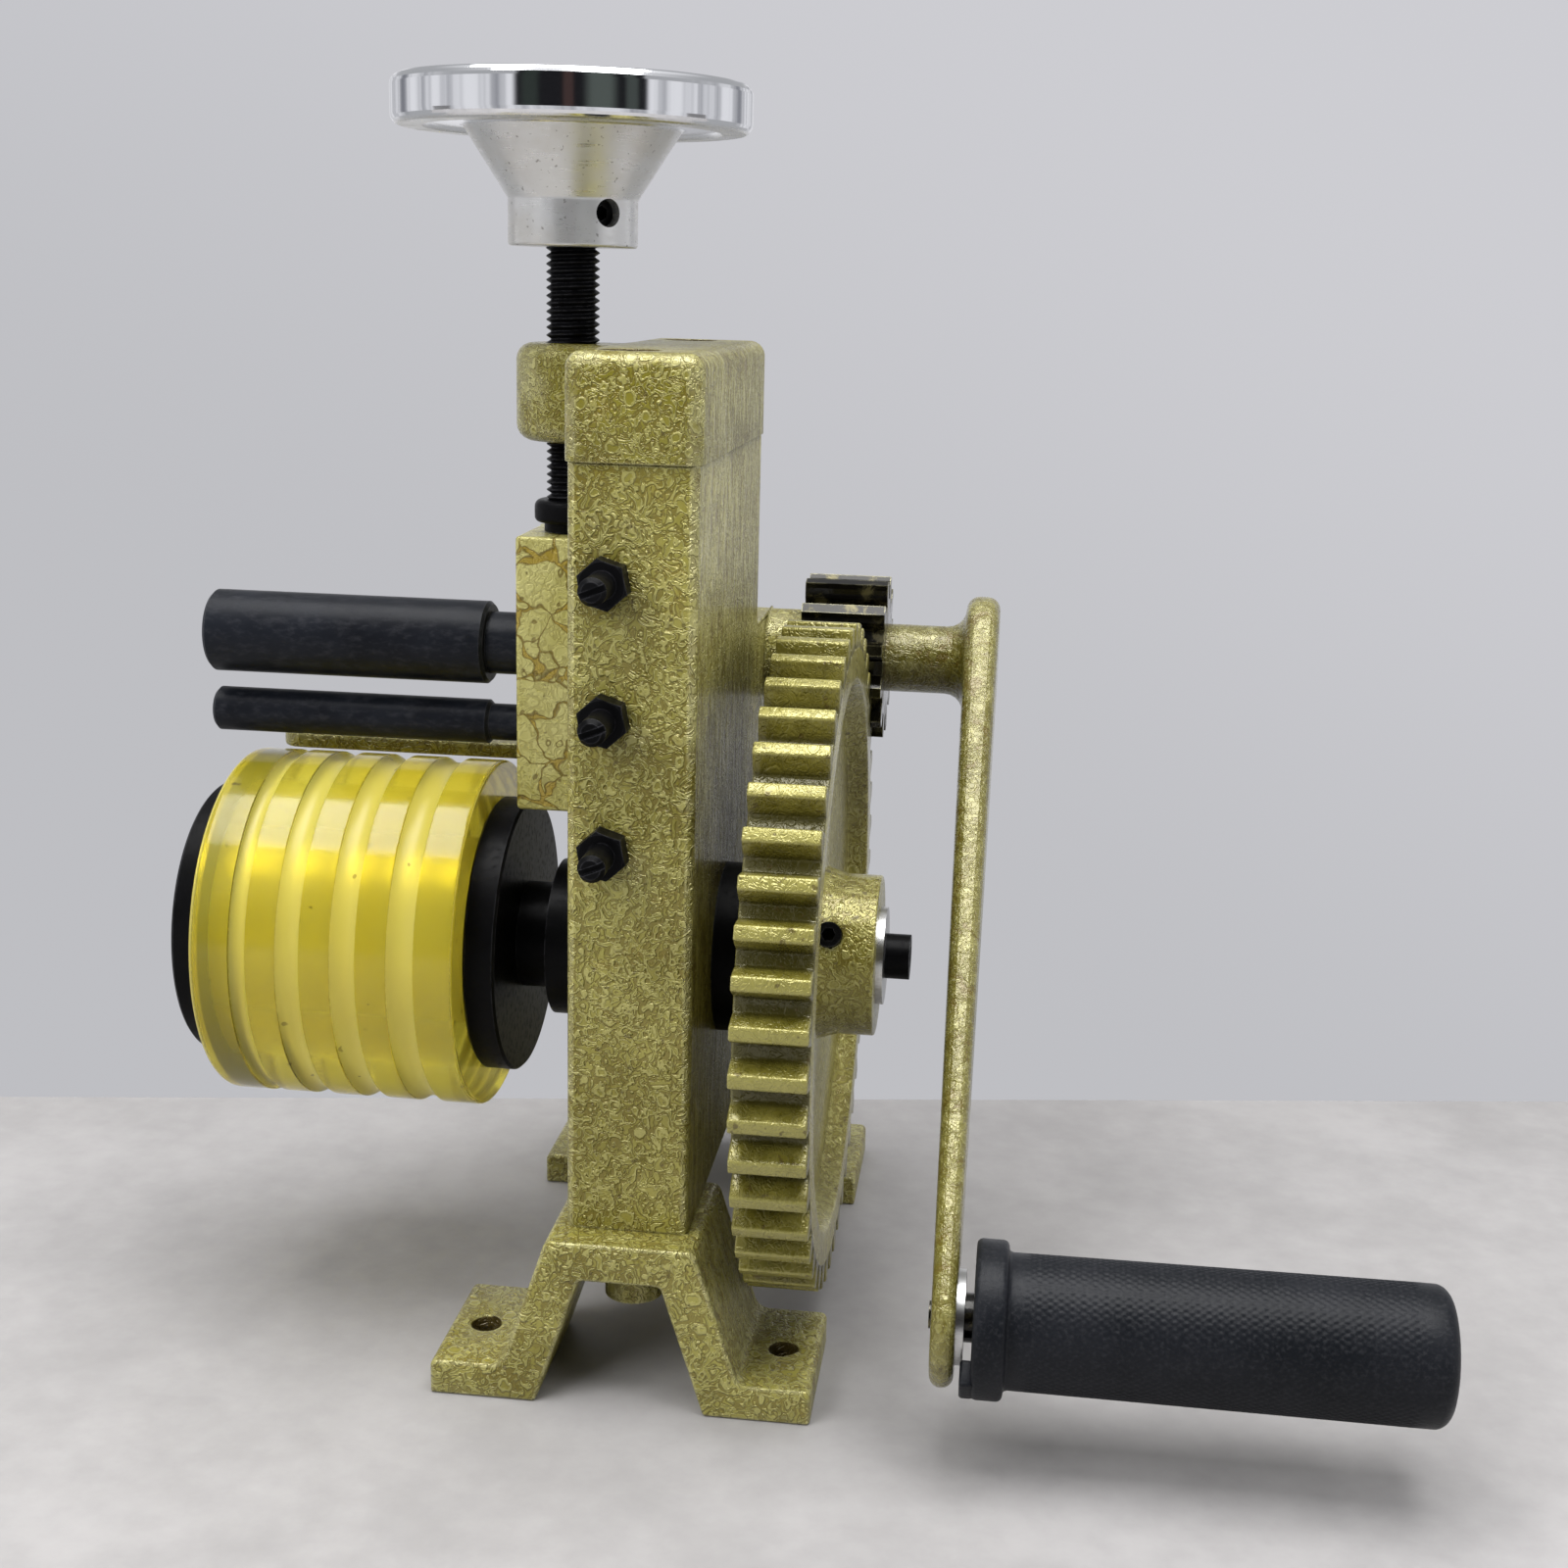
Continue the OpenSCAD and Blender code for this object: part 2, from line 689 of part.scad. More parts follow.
module gib_nuts() {
    color(black_steel) each_gib_screw() translate([0, 0, -gib_nut]) difference() {
        intersection() {
            rotate([0, 0, gib_nut_angle]) cylinder(h = gib_nut, d = gib_nut_across / cos(30), $fn = 6);
            cylinder(h = gib_nut, d1 = gib_nut_across, d2 = gib_nut_across + 2 * gib_nut_flare);
        }
        translate([0, 0, -over]) cylinder(h = gib_nut + 2 * over, d = gib_screw_d + 2 * fit_gap);
    }
}

// Bushes: two with flanges for the roller shaft and a plain one for the pinion shaft
module left_bush() {
    color(black_steel) at_roller() difference() {
        union() {
            rod(left_face - left_flange, left_face, left_flange_d);
            rod(left_face - over, left_face + bush_length, bush_d);
        }
        rod(left_face - left_flange - over, left_face + bush_length + over, journal_d + 2 * run_fit);
    }
}
module right_bush() {
    color(black_steel) at_roller() difference() {
        union() {
            rod(right_face, right_face + right_flange, right_flange_d);
            rod(right_face - bush_length, right_face + over, bush_d);
        }
        rod(right_face - bush_length - over, right_face + right_flange + over, journal_d + 2 * run_fit);
    }
}
module pinion_bush() {
    color(bronze) at_pinion()
        pipe(left_face, right_face + pinion_boss_length, pinion_bush_d, pinion_shaft_d + 2 * run_fit);
}

// Strip rest: a flat bar with a leg that is screwed to the column
module strip_rest() {
    c = rest_corner;
    plan = [[0, 0], [0, rest_width], [-rest_reach, rest_width], [-rest_reach, 0]];
    color(paint) difference() {
        translate([left_face, axis_y + rest_front, rest_bottom]) {
            linear_extrude(rest_thickness) polygon(rounded(plan, [0, 0, c, c]));
            translate([-rest_thickness, 0, 0]) cube([rest_thickness, rest_width, rest_leg]);
        }
        each_rest_screw() rod(-rest_thickness - over, over, rest_screw_d + 1);
    }
}
module strip_rest_screws() {
    length = rest_thickness + rest_screw_depth;
    color(black_steel) each_rest_screw() translate([-rest_thickness, 0, 0]) rotate([0, 90, 0])
        cap_screw(rest_screw_d, length, rest_screw_d * 1.7, rest_screw_d);
}

// Slide: a block on a dovetail tongue, which carries the mandrels on the lead screw's end
module mandrel_bore(z, journal) {
    at_mandrel(z) {
        rod(slide_left - over, left_face + tongue_depth + over, journal + 2 * run_fit);
        rod(clip_x - run_gap, left_face + tongue_depth + over, journal + 2 * (clip_rim + pocket_gap));
    }
}
module each_keeper_pin() {
    for (side = [-1, 1])
        translate([screw_x + side * keeper_offset, axis_y - slide_width / 2 + keeper_blind, keeper_z])
            rotate([-90, 0, 0]) children();
}
module slide_block() {
    height = slide_top - slide_bottom;
    near = tongue_half(-slide_gap - over);
    far = tongue_half(tongue_depth);
    keeper_length = slide_width - keeper_blind;
    color(paint) difference() {
        union() {
            translate([(slide_left + slide_right) / 2, axis_y, slide_bottom])
                linear_extrude(height) round_rect(slide_right - slide_left, slide_width, 1.5);
            translate([left_face, axis_y, slide_bottom]) linear_extrude(height)
                polygon([[-slide_gap - over, near], [tongue_depth, far],
                    [tongue_depth, -far], [-slide_gap - over, -near]]);
        }
        at_screw() translate([0, 0, slide_top - screw_end_length])
            cylinder(h = screw_end_length + over, d = screw_end_d + 2 * run_fit);
        each_keeper_pin() cylinder(h = keeper_length + over, d = keeper_d + 2 * fit_gap);
        mandrel_bore(large_z, large_journal_d);
        mandrel_bore(small_z, small_journal_d);
    }
}
module keeper_pins() {
    color(bright_steel) each_keeper_pin() cylinder(h = slide_width - keeper_blind, d = keeper_d);
}

// Lead screw: its plain end turns in the slide, held by two pins in a groove
module lead_screw() {
    thrust_z = slide_top + run_gap;
    thread_bottom = thrust_z + thrust_collar_height;
    groove = keeper_d / 2 + run_gap;
    color(black_steel) at_screw() difference() {
        union() {
            translate([0, 0, slide_top - screw_end_length + run_gap])
                cylinder(h = thread_bottom - slide_top + screw_end_length, d = screw_end_d);
            translate([0, 0, thread_bottom])
                cylinder(h = rim_top - dish_depth - thread_bottom, d = screw_d);
        }
        translate([0, 0, keeper_z - groove]) difference() {
            cylinder(h = 2 * groove, d = screw_end_d + over);
            translate([0, 0, -over]) cylinder(h = 2 * groove + 2 * over, r = keeper_groove_r);
        }
    }
}
collar_neck = 2.8;
collar_neck_wall = 2.2;
module thrust_collar() {
    r = thrust_collar_d / 2;
    bore = screw_end_d / 2 + fit_gap;
    h = thrust_collar_height - fit_gap;
    neck = bore + collar_neck_wall;
    section = [[bore, 0], [neck, 0], [neck, collar_neck], [r, collar_neck], [r, h], [bore, h]];
    color(black_steel) at_screw() translate([0, 0, slide_top + run_gap])
        rotate_extrude() polygon(rounded(section, [0, 0, 0, 1.6, 2.2, 0]));
}
module handwheel() {
    bore = screw_d / 2 + fit_gap;
    r = wheel_d / 2;
    hub = wheel_hub_d / 2;
    dish = rim_top - dish_depth;
    section = [
        [bore, wheel_bottom], [hub, wheel_bottom], [hub, wheel_bottom + wheel_hub_length],
        [wheel_cone_d / 2, rim_bottom + 1], [r - 11, rim_bottom + 1], [r - 9, rim_bottom],
        [r, rim_bottom], [r, rim_top], [r - 10, rim_top], [r - 14, dish], [bore, dish]
    ];
    radii = [0, 1, 2, 2, 0, 0.5, 3, 3, 3, 2, 0];
    color(chrome) difference() {
        at_screw() rotate_extrude() polygon(rounded(section, radii));
        wheel_screw_line() cylinder(h = wheel_hub_d, d = wheel_screw_d + 2 * fit_gap);
    }
}
module wheel_screw_line() {
    at_screw() translate([0, 0, wheel_screw_z]) rotate([0, 90, wheel_screw_angle]) children();
}
module wheel_set_screw() {
    length = wheel_hub_d / 2 - screw_d / 2 - 4;
    color(black_steel) wheel_screw_line() translate([0, 0, screw_d / 2 + length + fit_gap])
        mirror([0, 0, 1]) grub_screw(wheel_screw_d, length);
}

// Mandrels: each turns in the slide on a journal, with a clip behind its tongue
module mandrel(z, body, neck, journal) {
    body_right = slide_left - run_gap - mandrel_neck;
    body_left = body_right - mandrel_length;
    r = body / 2;
    c = mandrel_chamfer;
    section = [[0, body_left], [r - c, body_left], [r, body_left + c],
        [r, body_right - c], [r - c, body_right], [0, body_right]];
    color(black_steel) at_mandrel(z) difference() {
        union() {
            turned() polygon(section);
            rod(body_right - over, slide_left - run_gap, neck);
            rod(slide_left - run_gap - over, journal_end, journal);
        }
        pipe(clip_x, clip_x + clip_thickness, journal + over, journal - 2 * clip_groove);
    }
}
module mandrel_clip(z, journal) {
    bore = journal - 2 * clip_groove + 2 * fit_gap;
    color(bright_steel) at_mandrel(z)
        pipe(clip_x + fit_gap, clip_x + clip_thickness - fit_gap, journal + 2 * clip_rim, bore);
}
module large_mandrel() {
    mandrel(large_z, large_d, large_neck_d, large_journal_d);
}
module large_mandrel_clip() {
    mandrel_clip(large_z, large_journal_d);
}
module small_mandrel() {
    mandrel(small_z, small_d, small_neck_d, small_journal_d);
}
module small_mandrel_clip() {
    mandrel_clip(small_z, small_journal_d);
}

// Roller: a shaft with a collar, and a tyre on a core clamped between two discs
module gear_keyway(high) {
    low = seat_d / 2 - key_in_shaft;
    length = key_length + 2 * run_gap;
    start = (gear_hub_left + gear_hub_right - length) / 2;
    rotate([key_angle, 0, 0]) translate([start, low, -key_w / 2 - fit_gap])
        cube([length, high - low, key_w + 2 * fit_gap]);
}
module roller_shaft() {
    color(black_steel) at_roller() difference() {
        union() {
            rod(outer_left + shaft_end_gap, disc_right + over, spigot_d);
            rod(disc_right, collar_right, journal_d + 9);
            rod(collar_right - over, gear_hub_left, journal_d);
            rod(gear_hub_left - over, gear_hub_right - shaft_end_gap, seat_d);
        }
        rod(outer_left - over, outer_left + end_bolt_depth, end_bolt_d + 2 * fit_gap);
        rod(gear_hub_right - end_bolt_depth, gear_hub_right + over, gear_bolt_d + 2 * fit_gap);
        gear_keyway(seat_d);
    }
}
module roller_core() {
    color(bright_steel) at_roller() pipe(roller_left, roller_right, core_d, spigot_d + 2 * fit_gap);
}
function groove_left(i) =
    i == 0 ? roller_left + groove_start : groove_left(i - 1) + groove_widths[i - 1] + groove_land;
module roller_tyre() {
    r = roller_d / 2;
    bore = core_d / 2 + fit_gap;
    section = [[bore, roller_left], [r, roller_left], [r, roller_right], [bore, roller_right]];
    color(amber) at_roller() difference() {
        turned() polygon(rounded(section, [0, 2.5, 1.2, 0]));
        for (i = [0:len(groove_widths) - 1]) {
            half = groove_widths[i] / 2;
            groove_r = (half * half + groove_depth * groove_depth) / (2 * groove_depth);
            turned() translate([r + groove_r - groove_depth, groove_left(i) + half]) circle(r = groove_r);
        }
    }
}
module side_disc(x) {
    r = disc_d / 2;
    bore = spigot_d / 2 + fit_gap;
    section = [[bore, x], [r - 0.8, x], [r, x + 0.8],
        [r, x + disc_thickness - 0.8], [r - 0.8, x + disc_thickness], [bore, x + disc_thickness]];
    color(black_steel) at_roller() turned() polygon(section);
}
module inner_disc() {
    side_disc(roller_right);
}
module outer_disc() {
    side_disc(outer_left);
}
module roller_washer() {
    color(bright_steel) at_roller()
        pipe(outer_left - end_washer, outer_left, end_washer_d, end_bolt_d + 1);
}
module roller_bolt() {
    length = end_washer + end_bolt_depth - over;
    color(black_steel) at_roller() translate([outer_left - end_washer, 0, 0]) rotate([0, 90, 0])
        cap_screw(end_bolt_d, length, end_bolt_d * 1.6, end_bolt_head);
}

// Drive gear: a toothed rim on a sunk web, keyed to the shaft
module gear_set_screw_line() {
    translate([set_screw_x, 0, 0]) radial(key_angle) children();
}
module drive_gear() {
    hub = gear_hub_d / 2;
    rim = gear_module * gear_teeth / 2 - dedendum - gear_rim;
    draft = 2;
    web = gear_right - gear_recess;
    recess = [[hub, gear_right + over], [rim + 1, gear_right + over], [rim, gear_right],
        [rim - draft, web], [hub + draft, web], [hub, gear_right]];
    middle = (gear_left + gear_right) / 2;
    color(paint) at_roller() difference() {
        union() {
            difference() {
                translate([gear_left, 0, 0]) along_x(gear_face)
                    polygon(gear_outline(gear_teeth, centre_angle + gear_turn));
                turned() polygon(recess);
                translate([2 * middle, 0, 0]) mirror([1, 0, 0]) turned() polygon(recess);
            }
            rod(gear_hub_left, gear_hub_right, gear_hub_d);
        }
        rod(gear_hub_left - over, gear_hub_right + over, seat_d + 2 * fit_gap);
        gear_keyway(seat_d / 2 + key_in_hub + run_gap);
        gear_set_screw_line() cylinder(h = gear_hub_d, d = set_screw_d + 2 * fit_gap);
    }
}
module gear_key() {
    low = seat_d / 2 - key_in_shaft;
    start = (gear_hub_left + gear_hub_right - key_length) / 2;
    color(bright_steel) at_roller() rotate([key_angle, 0, 0])
        translate([start, low + fit_gap, -key_w / 2])
            cube([key_length, key_in_shaft + key_in_hub, key_w]);
}
module gear_set_screw() {
    start = seat_d / 2 + key_in_hub + fit_gap;
    length = gear_hub_d / 2 + set_screw_proud - start;
    color(black_steel) at_roller() gear_set_screw_line()
        translate([0, 0, start + length]) mirror([0, 0, 1]) grub_screw(set_screw_d, length);
}
module gear_washer() {
    color(bright_steel) at_roller()
        pipe(gear_hub_right, gear_hub_right + gear_washer_t, gear_washer_d, gear_bolt_d + 1);
}
module gear_bolt() {
    length = gear_washer_t + end_bolt_depth - over;
    color(black_steel) at_roller() translate([gear_hub_right + gear_washer_t, 0, 0]) rotate([0, -90, 0])
        cap_screw(gear_bolt_d, length, gear_bolt_head_d, gear_bolt_head);
}

// Pinion: keyed to its shaft, which a collar keeps from drawing out
module pinion_keyway(low, high) {
    length = pinion_key_length + 2 * run_gap;
    start = (pinion_left + pinion_right - length) / 2;
    translate([start, -pinion_key_w / 2 - fit_gap, low])
        cube([length, pinion_key_w + 2 * fit_gap, high - low]);
}
pinion_key_low = pinion_shaft_d / 2 - pinion_key_in;
pinion_key_high = pinion_shaft_d / 2 + pinion_key_out;
module pinion_shaft() {
    color(bright_steel) at_pinion() difference() {
        rod(left_face - run_gap - ring_length - 2, arm_right, pinion_shaft_d);
        pinion_keyway(pinion_key_low, pinion_shaft_d);
    }
}
module pinion() {
    color(oily_steel) at_pinion() difference() {
        translate([pinion_left, 0, 0]) along_x(pinion_face)
            polygon(gear_outline(pinion_teeth, centre_angle + 180 + 180 / pinion_teeth + pinion_turn));
        rod(pinion_left - over, pinion_right + over, pinion_shaft_d + 2 * fit_gap);
        pinion_keyway(0, pinion_key_high + run_gap);
    }
}
module pinion_key() {
    start = (pinion_left + pinion_right - pinion_key_length) / 2;
    color(bright_steel) at_pinion() translate([start, -pinion_key_w / 2, pinion_key_low + fit_gap])
        cube([pinion_key_length, pinion_key_w, pinion_key_high - pinion_key_low]);
}
module ring_screw_line() {
    at_pinion() translate([left_face - run_gap - ring_length / 2, 0, 0]) children();
}
module shaft_collar_ring() {
    right = left_face - run_gap;
    color(black_steel) difference() {
        at_pinion() pipe(right - ring_length, right, ring_d, pinion_shaft_d + 2 * fit_gap);
        ring_screw_line() cylinder(h = ring_d, d = ring_screw_d + 2 * fit_gap);
    }
}
module shaft_collar_screw() {
    length = (ring_d - pinion_shaft_d) / 2 - 0.5;
    color(black_steel) ring_screw_line() translate([0, 0, pinion_shaft_d / 2 + fit_gap + length])
        mirror([0, 0, 1]) grub_screw(ring_screw_d, length);
}

// Crank: a tapered arm on a flared hub
module arm_end(left, radius) {
    edge = min(arm_edge, (arm_right - left) / 2 - 0.1);
    section = [[0, left], [radius, left], [radius, arm_right], [0, arm_right]];
    turned($fn = 40) polygon(rounded(section, [0, edge, edge, 0]));
}
module crank_flare_ring() {
    hub = crank_hub_d / 2;
    edge = hub + crank_flare;
    curve = [for (i = [0:corner_steps]) let (t = 90 * i / corner_steps)
        [edge - crank_flare * cos(t), arm_left - crank_flare + crank_flare * sin(t)]];
    inside = [[edge, arm_left + over], [0, arm_left + over], [0, arm_left - crank_flare]];
    turned() polygon(concat(curve, inside));
}
module crank_screw_line() {
    translate([pinion_right + crank_hub_length / 3, 0, 0]) radial(0) children();
}
module crank_arm() {
    color(paint) at_crank() difference() {
        union() {
            hull() {
                arm_end(arm_left, arm_hub_radius);
                translate([0, 0, -crank_length]) arm_end(arm_left + arm_taper, arm_grip_radius);
            }
            rod(pinion_right, arm_left + over, crank_hub_d);
            crank_flare_ring();
        }
        rod(pinion_right - over, arm_right + over, pinion_shaft_d + 2 * fit_gap);
        crank_screw_line() cylinder(h = crank_hub_d, d = crank_screw_d + 2 * fit_gap);
        translate([0, 0, -crank_length])
            rod(arm_left - over, arm_right + over, grip_tenon_d + 2 * fit_gap);
    }
}
module crank_set_screw() {
    length = (crank_hub_d - pinion_shaft_d) / 2;
    color(black_steel) at_crank() crank_screw_line()
        translate([0, 0, pinion_shaft_d / 2 + fit_gap + length])
            mirror([0, 0, 1]) grub_screw(crank_screw_d, length);
}

// Grip: a rubber sleeve on a tube, which turns on a spindle riveted to the arm
module grip_pin() {
    arm_face = arm_left + arm_taper - grip_tenon_proud;
    clip = grip_tube_end + run_gap;
    color(oily_steel) at_grip() difference() {
        union() {
            rod(arm_face, arm_right + over, grip_tenon_d);
            rod(arm_right, clip + clip_thickness + 2, spindle_d);
        }
        pipe(clip, clip + clip_thickness, spindle_d + over, spindle_d - 2 * clip_groove);
    }
}
module grip_washer() {
    color(bright_steel) at_grip()
        pipe(arm_right, arm_right + grip_washer_t, grip_washer_d, spindle_d + 2 * fit_gap);
}
module grip_clip() {
    clip = grip_tube_end + run_gap;
    bore = spindle_d - 2 * clip_groove + 2 * fit_gap;
    color(bright_steel) at_grip()
        pipe(clip + fit_gap, clip + clip_thickness - fit_gap, spindle_d + 2 * clip_rim, bore);
}
module grip_sleeve() {
    bore = grip_tube_d / 2 + fit_gap;
    cavity = grip_right - grip_end_wall;
    flange = grip_flange_d / 2;
    near = grip_d / 2;
    far = (grip_d + grip_swell) / 2;
    shoulder = grip_left + grip_flange;
    section = [
        [bore, grip_left], [flange, grip_left], [flange, shoulder], [near, shoulder],
        [far, grip_right], [0, grip_right], [0, cavity], [bore, cavity]
    ];
    radii = [0, 2, 2, 1.5, grip_end_radius, 0, 0, 0];
    color(rubber) at_grip() {
        turned() polygon(rounded(section, radii));
        intersection() {
            translate([grip_left - grip_tab_proud, -grip_tab_w / 2, -grip_tab_low])
                cube([grip_tab_proud + over, grip_tab_w, grip_tab_low - grip_tab_high]);
            rod(grip_left - grip_tab_proud - over, shoulder, grip_flange_d - 0.6);
        }
    }
}
module grip_tube() {
    color(bright_steel) at_grip() pipe(grip_left, grip_tube_end, grip_tube_d, spindle_d + 2 * run_fit);
}

front_foot();
rear_foot();
foot_screws();
foot_washers();
column();
top_cap();
cap_screws();
gib_strip();
gib_screws();
gib_nuts();
left_bush();
right_bush();
pinion_bush();
strip_rest();
strip_rest_screws();
slide_block();
keeper_pins();
lead_screw();
thrust_collar();
handwheel();
wheel_set_screw();
large_mandrel();
large_mandrel_clip();
small_mandrel();
small_mandrel_clip();
roller_shaft();
roller_core();
roller_tyre();
inner_disc();
outer_disc();
roller_washer();
roller_bolt();
drive_gear();
gear_key();
gear_set_screw();
gear_washer();
gear_bolt();
pinion_shaft();
pinion();
pinion_key();
shaft_collar_ring();
shaft_collar_screw();
crank_arm();
crank_set_screw();
grip_pin();
grip_washer();
grip_clip();
grip_sleeve();
grip_tube();
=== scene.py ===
import math

import bmesh
import bpy
from mathutils import Matrix, Vector
from mathutils.geometry import intersect_point_line


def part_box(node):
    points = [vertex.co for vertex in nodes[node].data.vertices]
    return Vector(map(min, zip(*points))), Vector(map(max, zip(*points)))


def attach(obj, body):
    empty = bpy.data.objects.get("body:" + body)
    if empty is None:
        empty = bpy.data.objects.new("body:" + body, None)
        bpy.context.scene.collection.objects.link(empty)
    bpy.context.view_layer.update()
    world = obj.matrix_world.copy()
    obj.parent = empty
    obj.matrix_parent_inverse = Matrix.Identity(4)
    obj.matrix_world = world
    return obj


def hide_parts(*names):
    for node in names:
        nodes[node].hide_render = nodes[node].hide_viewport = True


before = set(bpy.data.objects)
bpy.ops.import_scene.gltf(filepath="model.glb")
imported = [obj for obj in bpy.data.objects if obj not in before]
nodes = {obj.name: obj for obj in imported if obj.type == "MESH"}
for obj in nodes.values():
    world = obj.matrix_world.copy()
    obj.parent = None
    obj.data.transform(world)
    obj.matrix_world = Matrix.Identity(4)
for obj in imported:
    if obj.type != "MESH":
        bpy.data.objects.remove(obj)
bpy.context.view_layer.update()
scene = bpy.context.scene
MM = 0.001

# The photo's camera: place in metres, lens and sensor in millimetres
CAMERA_AT = (0.10782, -0.64037, 0.33165)
CAMERA_RIGHT = Vector((0.99229, 0.12122, 0.02557))
CAMERA_UP = Vector((-0.05392, 0.23670, 0.97008))
CAMERA_LENS, CAMERA_SENSOR = 46.757, 36.0

# Places shared with the part's source, in millimetres
AXIS_Y, ROLLER_Z = -24.5, 123.0
SCREW_X, SCREW_R = -31.0, 8.0
SCREW_PITCH = 25.4 / 11
PINION_Y, PINION_Z = 76.5, 200.8155
CRANK_LENGTH, CRANK_REST = 242.0, math.radians(49.6)
GRIP_Y = PINION_Y - CRANK_LENGTH * math.sin(CRANK_REST)
GRIP_Z = PINION_Z - CRANK_LENGTH * math.cos(CRANK_REST)
GEAR_TIP_R, GEAR_ROOT_R = 105.19, 97.75
ROLLER_R = 55.7
CONE_TOP, RIM_BOTTOM = 371.6, 373.2

# Upright holes, whose walls get painted shade: the middle they are mirrored about, one hole's place
# from it, and the radius
BENCH_HOLES = ((0.0, 0.0), (47.0, 75.5), 4.5)
CAP_HOLES = ((-3.5, AXIS_Y), (0.0, 50.5), 8.75)

# Rounding of the castings' edges
WELD = 0.002 * MM
SHORT_EDGE = 12.0 * MM
FLAT_ANGLE = math.radians(0.6)
SHARP_ANGLE = math.radians(28.0)
FOLD_ANGLE = math.radians(149.0)
ROUNDING_TRIES = 8


def rgb(red, green, blue):
    return (red, green, blue, 1.0)


# The olive paint, from its deepest to its palest, and what has settled in it. The pale and worn
# olives also paint highlights, and the dark ochre and speck brown also paint shade.
DEEP_OLIVE = rgb(0.222, 0.193, 0.026)
MID_OLIVE = rgb(0.390, 0.354, 0.084)
PALE_OLIVE = rgb(0.550, 0.515, 0.200)
WORN_AND_HIGHLIGHT_OLIVE = rgb(0.610, 0.585, 0.330)
OCHRE = rgb(0.330, 0.230, 0.020)
DARK_OCHRE = rgb(0.130, 0.090, 0.010)
SPECK_AND_SHADE_BROWN = rgb(0.085, 0.060, 0.014)

# Its own tones on the cap and the crank, and on the gear's teeth: flanks and roots darkened with
# painted shade, tips lightened by wear and painted highlight
CAP_DEEP, CAP_MID = rgb(0.170, 0.145, 0.008), rgb(0.280, 0.248, 0.030)
CRANK_DEEP, CRANK_MID = rgb(0.118, 0.102, 0.012), rgb(0.205, 0.184, 0.044)
FLANK_SHADE_DEEP, FLANK_SHADE_MID = rgb(0.105, 0.090, 0.007), rgb(0.205, 0.180, 0.028)
ROOT_SHADE, TIP_WEAR_AND_HIGHLIGHT = rgb(0.060, 0.052, 0.008), rgb(0.350, 0.318, 0.090)

# Metals, each in two tones, and where they are rubbed or pitted
OXIDE_DARK, OXIDE_PALE = rgb(0.0020, 0.0020, 0.0022), rgb(0.0040, 0.0040, 0.0046)
MANDREL_DARK, MANDREL_PALE = rgb(0.0050, 0.0058, 0.0080), rgb(0.0092, 0.0108, 0.0150)
RUBBED_BLACK = rgb(0.08, 0.08, 0.09)
OIL_FILM, OILED_STEEL = rgb(0.006, 0.005, 0.003), rgb(0.120, 0.104, 0.044)
RUBBED_STEEL = rgb(0.45, 0.42, 0.24)
STEEL, DULL_STEEL = rgb(0.66, 0.66, 0.65), rgb(0.42, 0.41, 0.39)
BUSH_BRONZE, DULL_BRONZE = rgb(0.58, 0.40, 0.18), rgb(0.36, 0.24, 0.10)
MIRROR_PLATE, PLATE_PIT = rgb(0.84, 0.85, 0.87), rgb(0.16, 0.14, 0.12)
SATIN_PLATE, STAINED_PLATE = rgb(0.74, 0.74, 0.73), rgb(0.62, 0.60, 0.55)

# Urethane, rubber and floor
DEEP_YELLOW, CLEAR_YELLOW = rgb(0.97, 0.80, 0.05), rgb(0.98, 0.86, 0.10)
GROUND_YELLOW, NICK_BROWN = rgb(0.99, 0.88, 0.22), rgb(0.20, 0.13, 0.02)
RUBBER_DARK, RUBBER_PALE = rgb(0.006, 0.007, 0.009), rgb(0.011, 0.012, 0.015)
RUBBER_DUST = rgb(0.05, 0.05, 0.055)
FLOOR_DARK, FLOOR_PALE = rgb(0.282, 0.273, 0.271), rgb(0.365, 0.353, 0.351)

# The wall that the camera sees, and the room that the part mirrors
WALL_LOW, WALL_HIGH = rgb(0.516, 0.519, 0.545), rgb(0.612, 0.612, 0.645)
ROOM_GREY, CEILING_GREY = rgb(0.41, 0.415, 0.43), rgb(0.80, 0.80, 0.82)
STREAK_DARK, STREAK_PALE = rgb(0.20, 0.205, 0.23), rgb(0.80, 0.80, 0.83)
FRONT_DARK = rgb(0.012, 0.012, 0.014)
# Fainter bands in the dark front: the angle of the middle, half the width, and the shade
FRONT_BANDS = (
    (-0.24, 0.13, rgb(0.030, 0.038, 0.034)),
    (0.17, 0.08, rgb(0.055, 0.034, 0.032)),
    (0.52, 0.22, rgb(0.085, 0.100, 0.092)),
    (0.86, 0.10, rgb(0.060, 0.070, 0.066)),
)


def make_camera():
    back = CAMERA_RIGHT.cross(CAMERA_UP)
    turn = Matrix((CAMERA_RIGHT, CAMERA_UP, back)).transposed().to_4x4()
    data = bpy.data.cameras.new("photo_camera")
    data.sensor_width = CAMERA_SENSOR
    data.lens = CAMERA_LENS
    data.clip_start = 0.01
    camera = bpy.data.objects.new("photo_camera", data)
    camera.matrix_world = Matrix.Translation(CAMERA_AT) @ turn
    scene.collection.objects.link(camera)
    scene.camera = camera


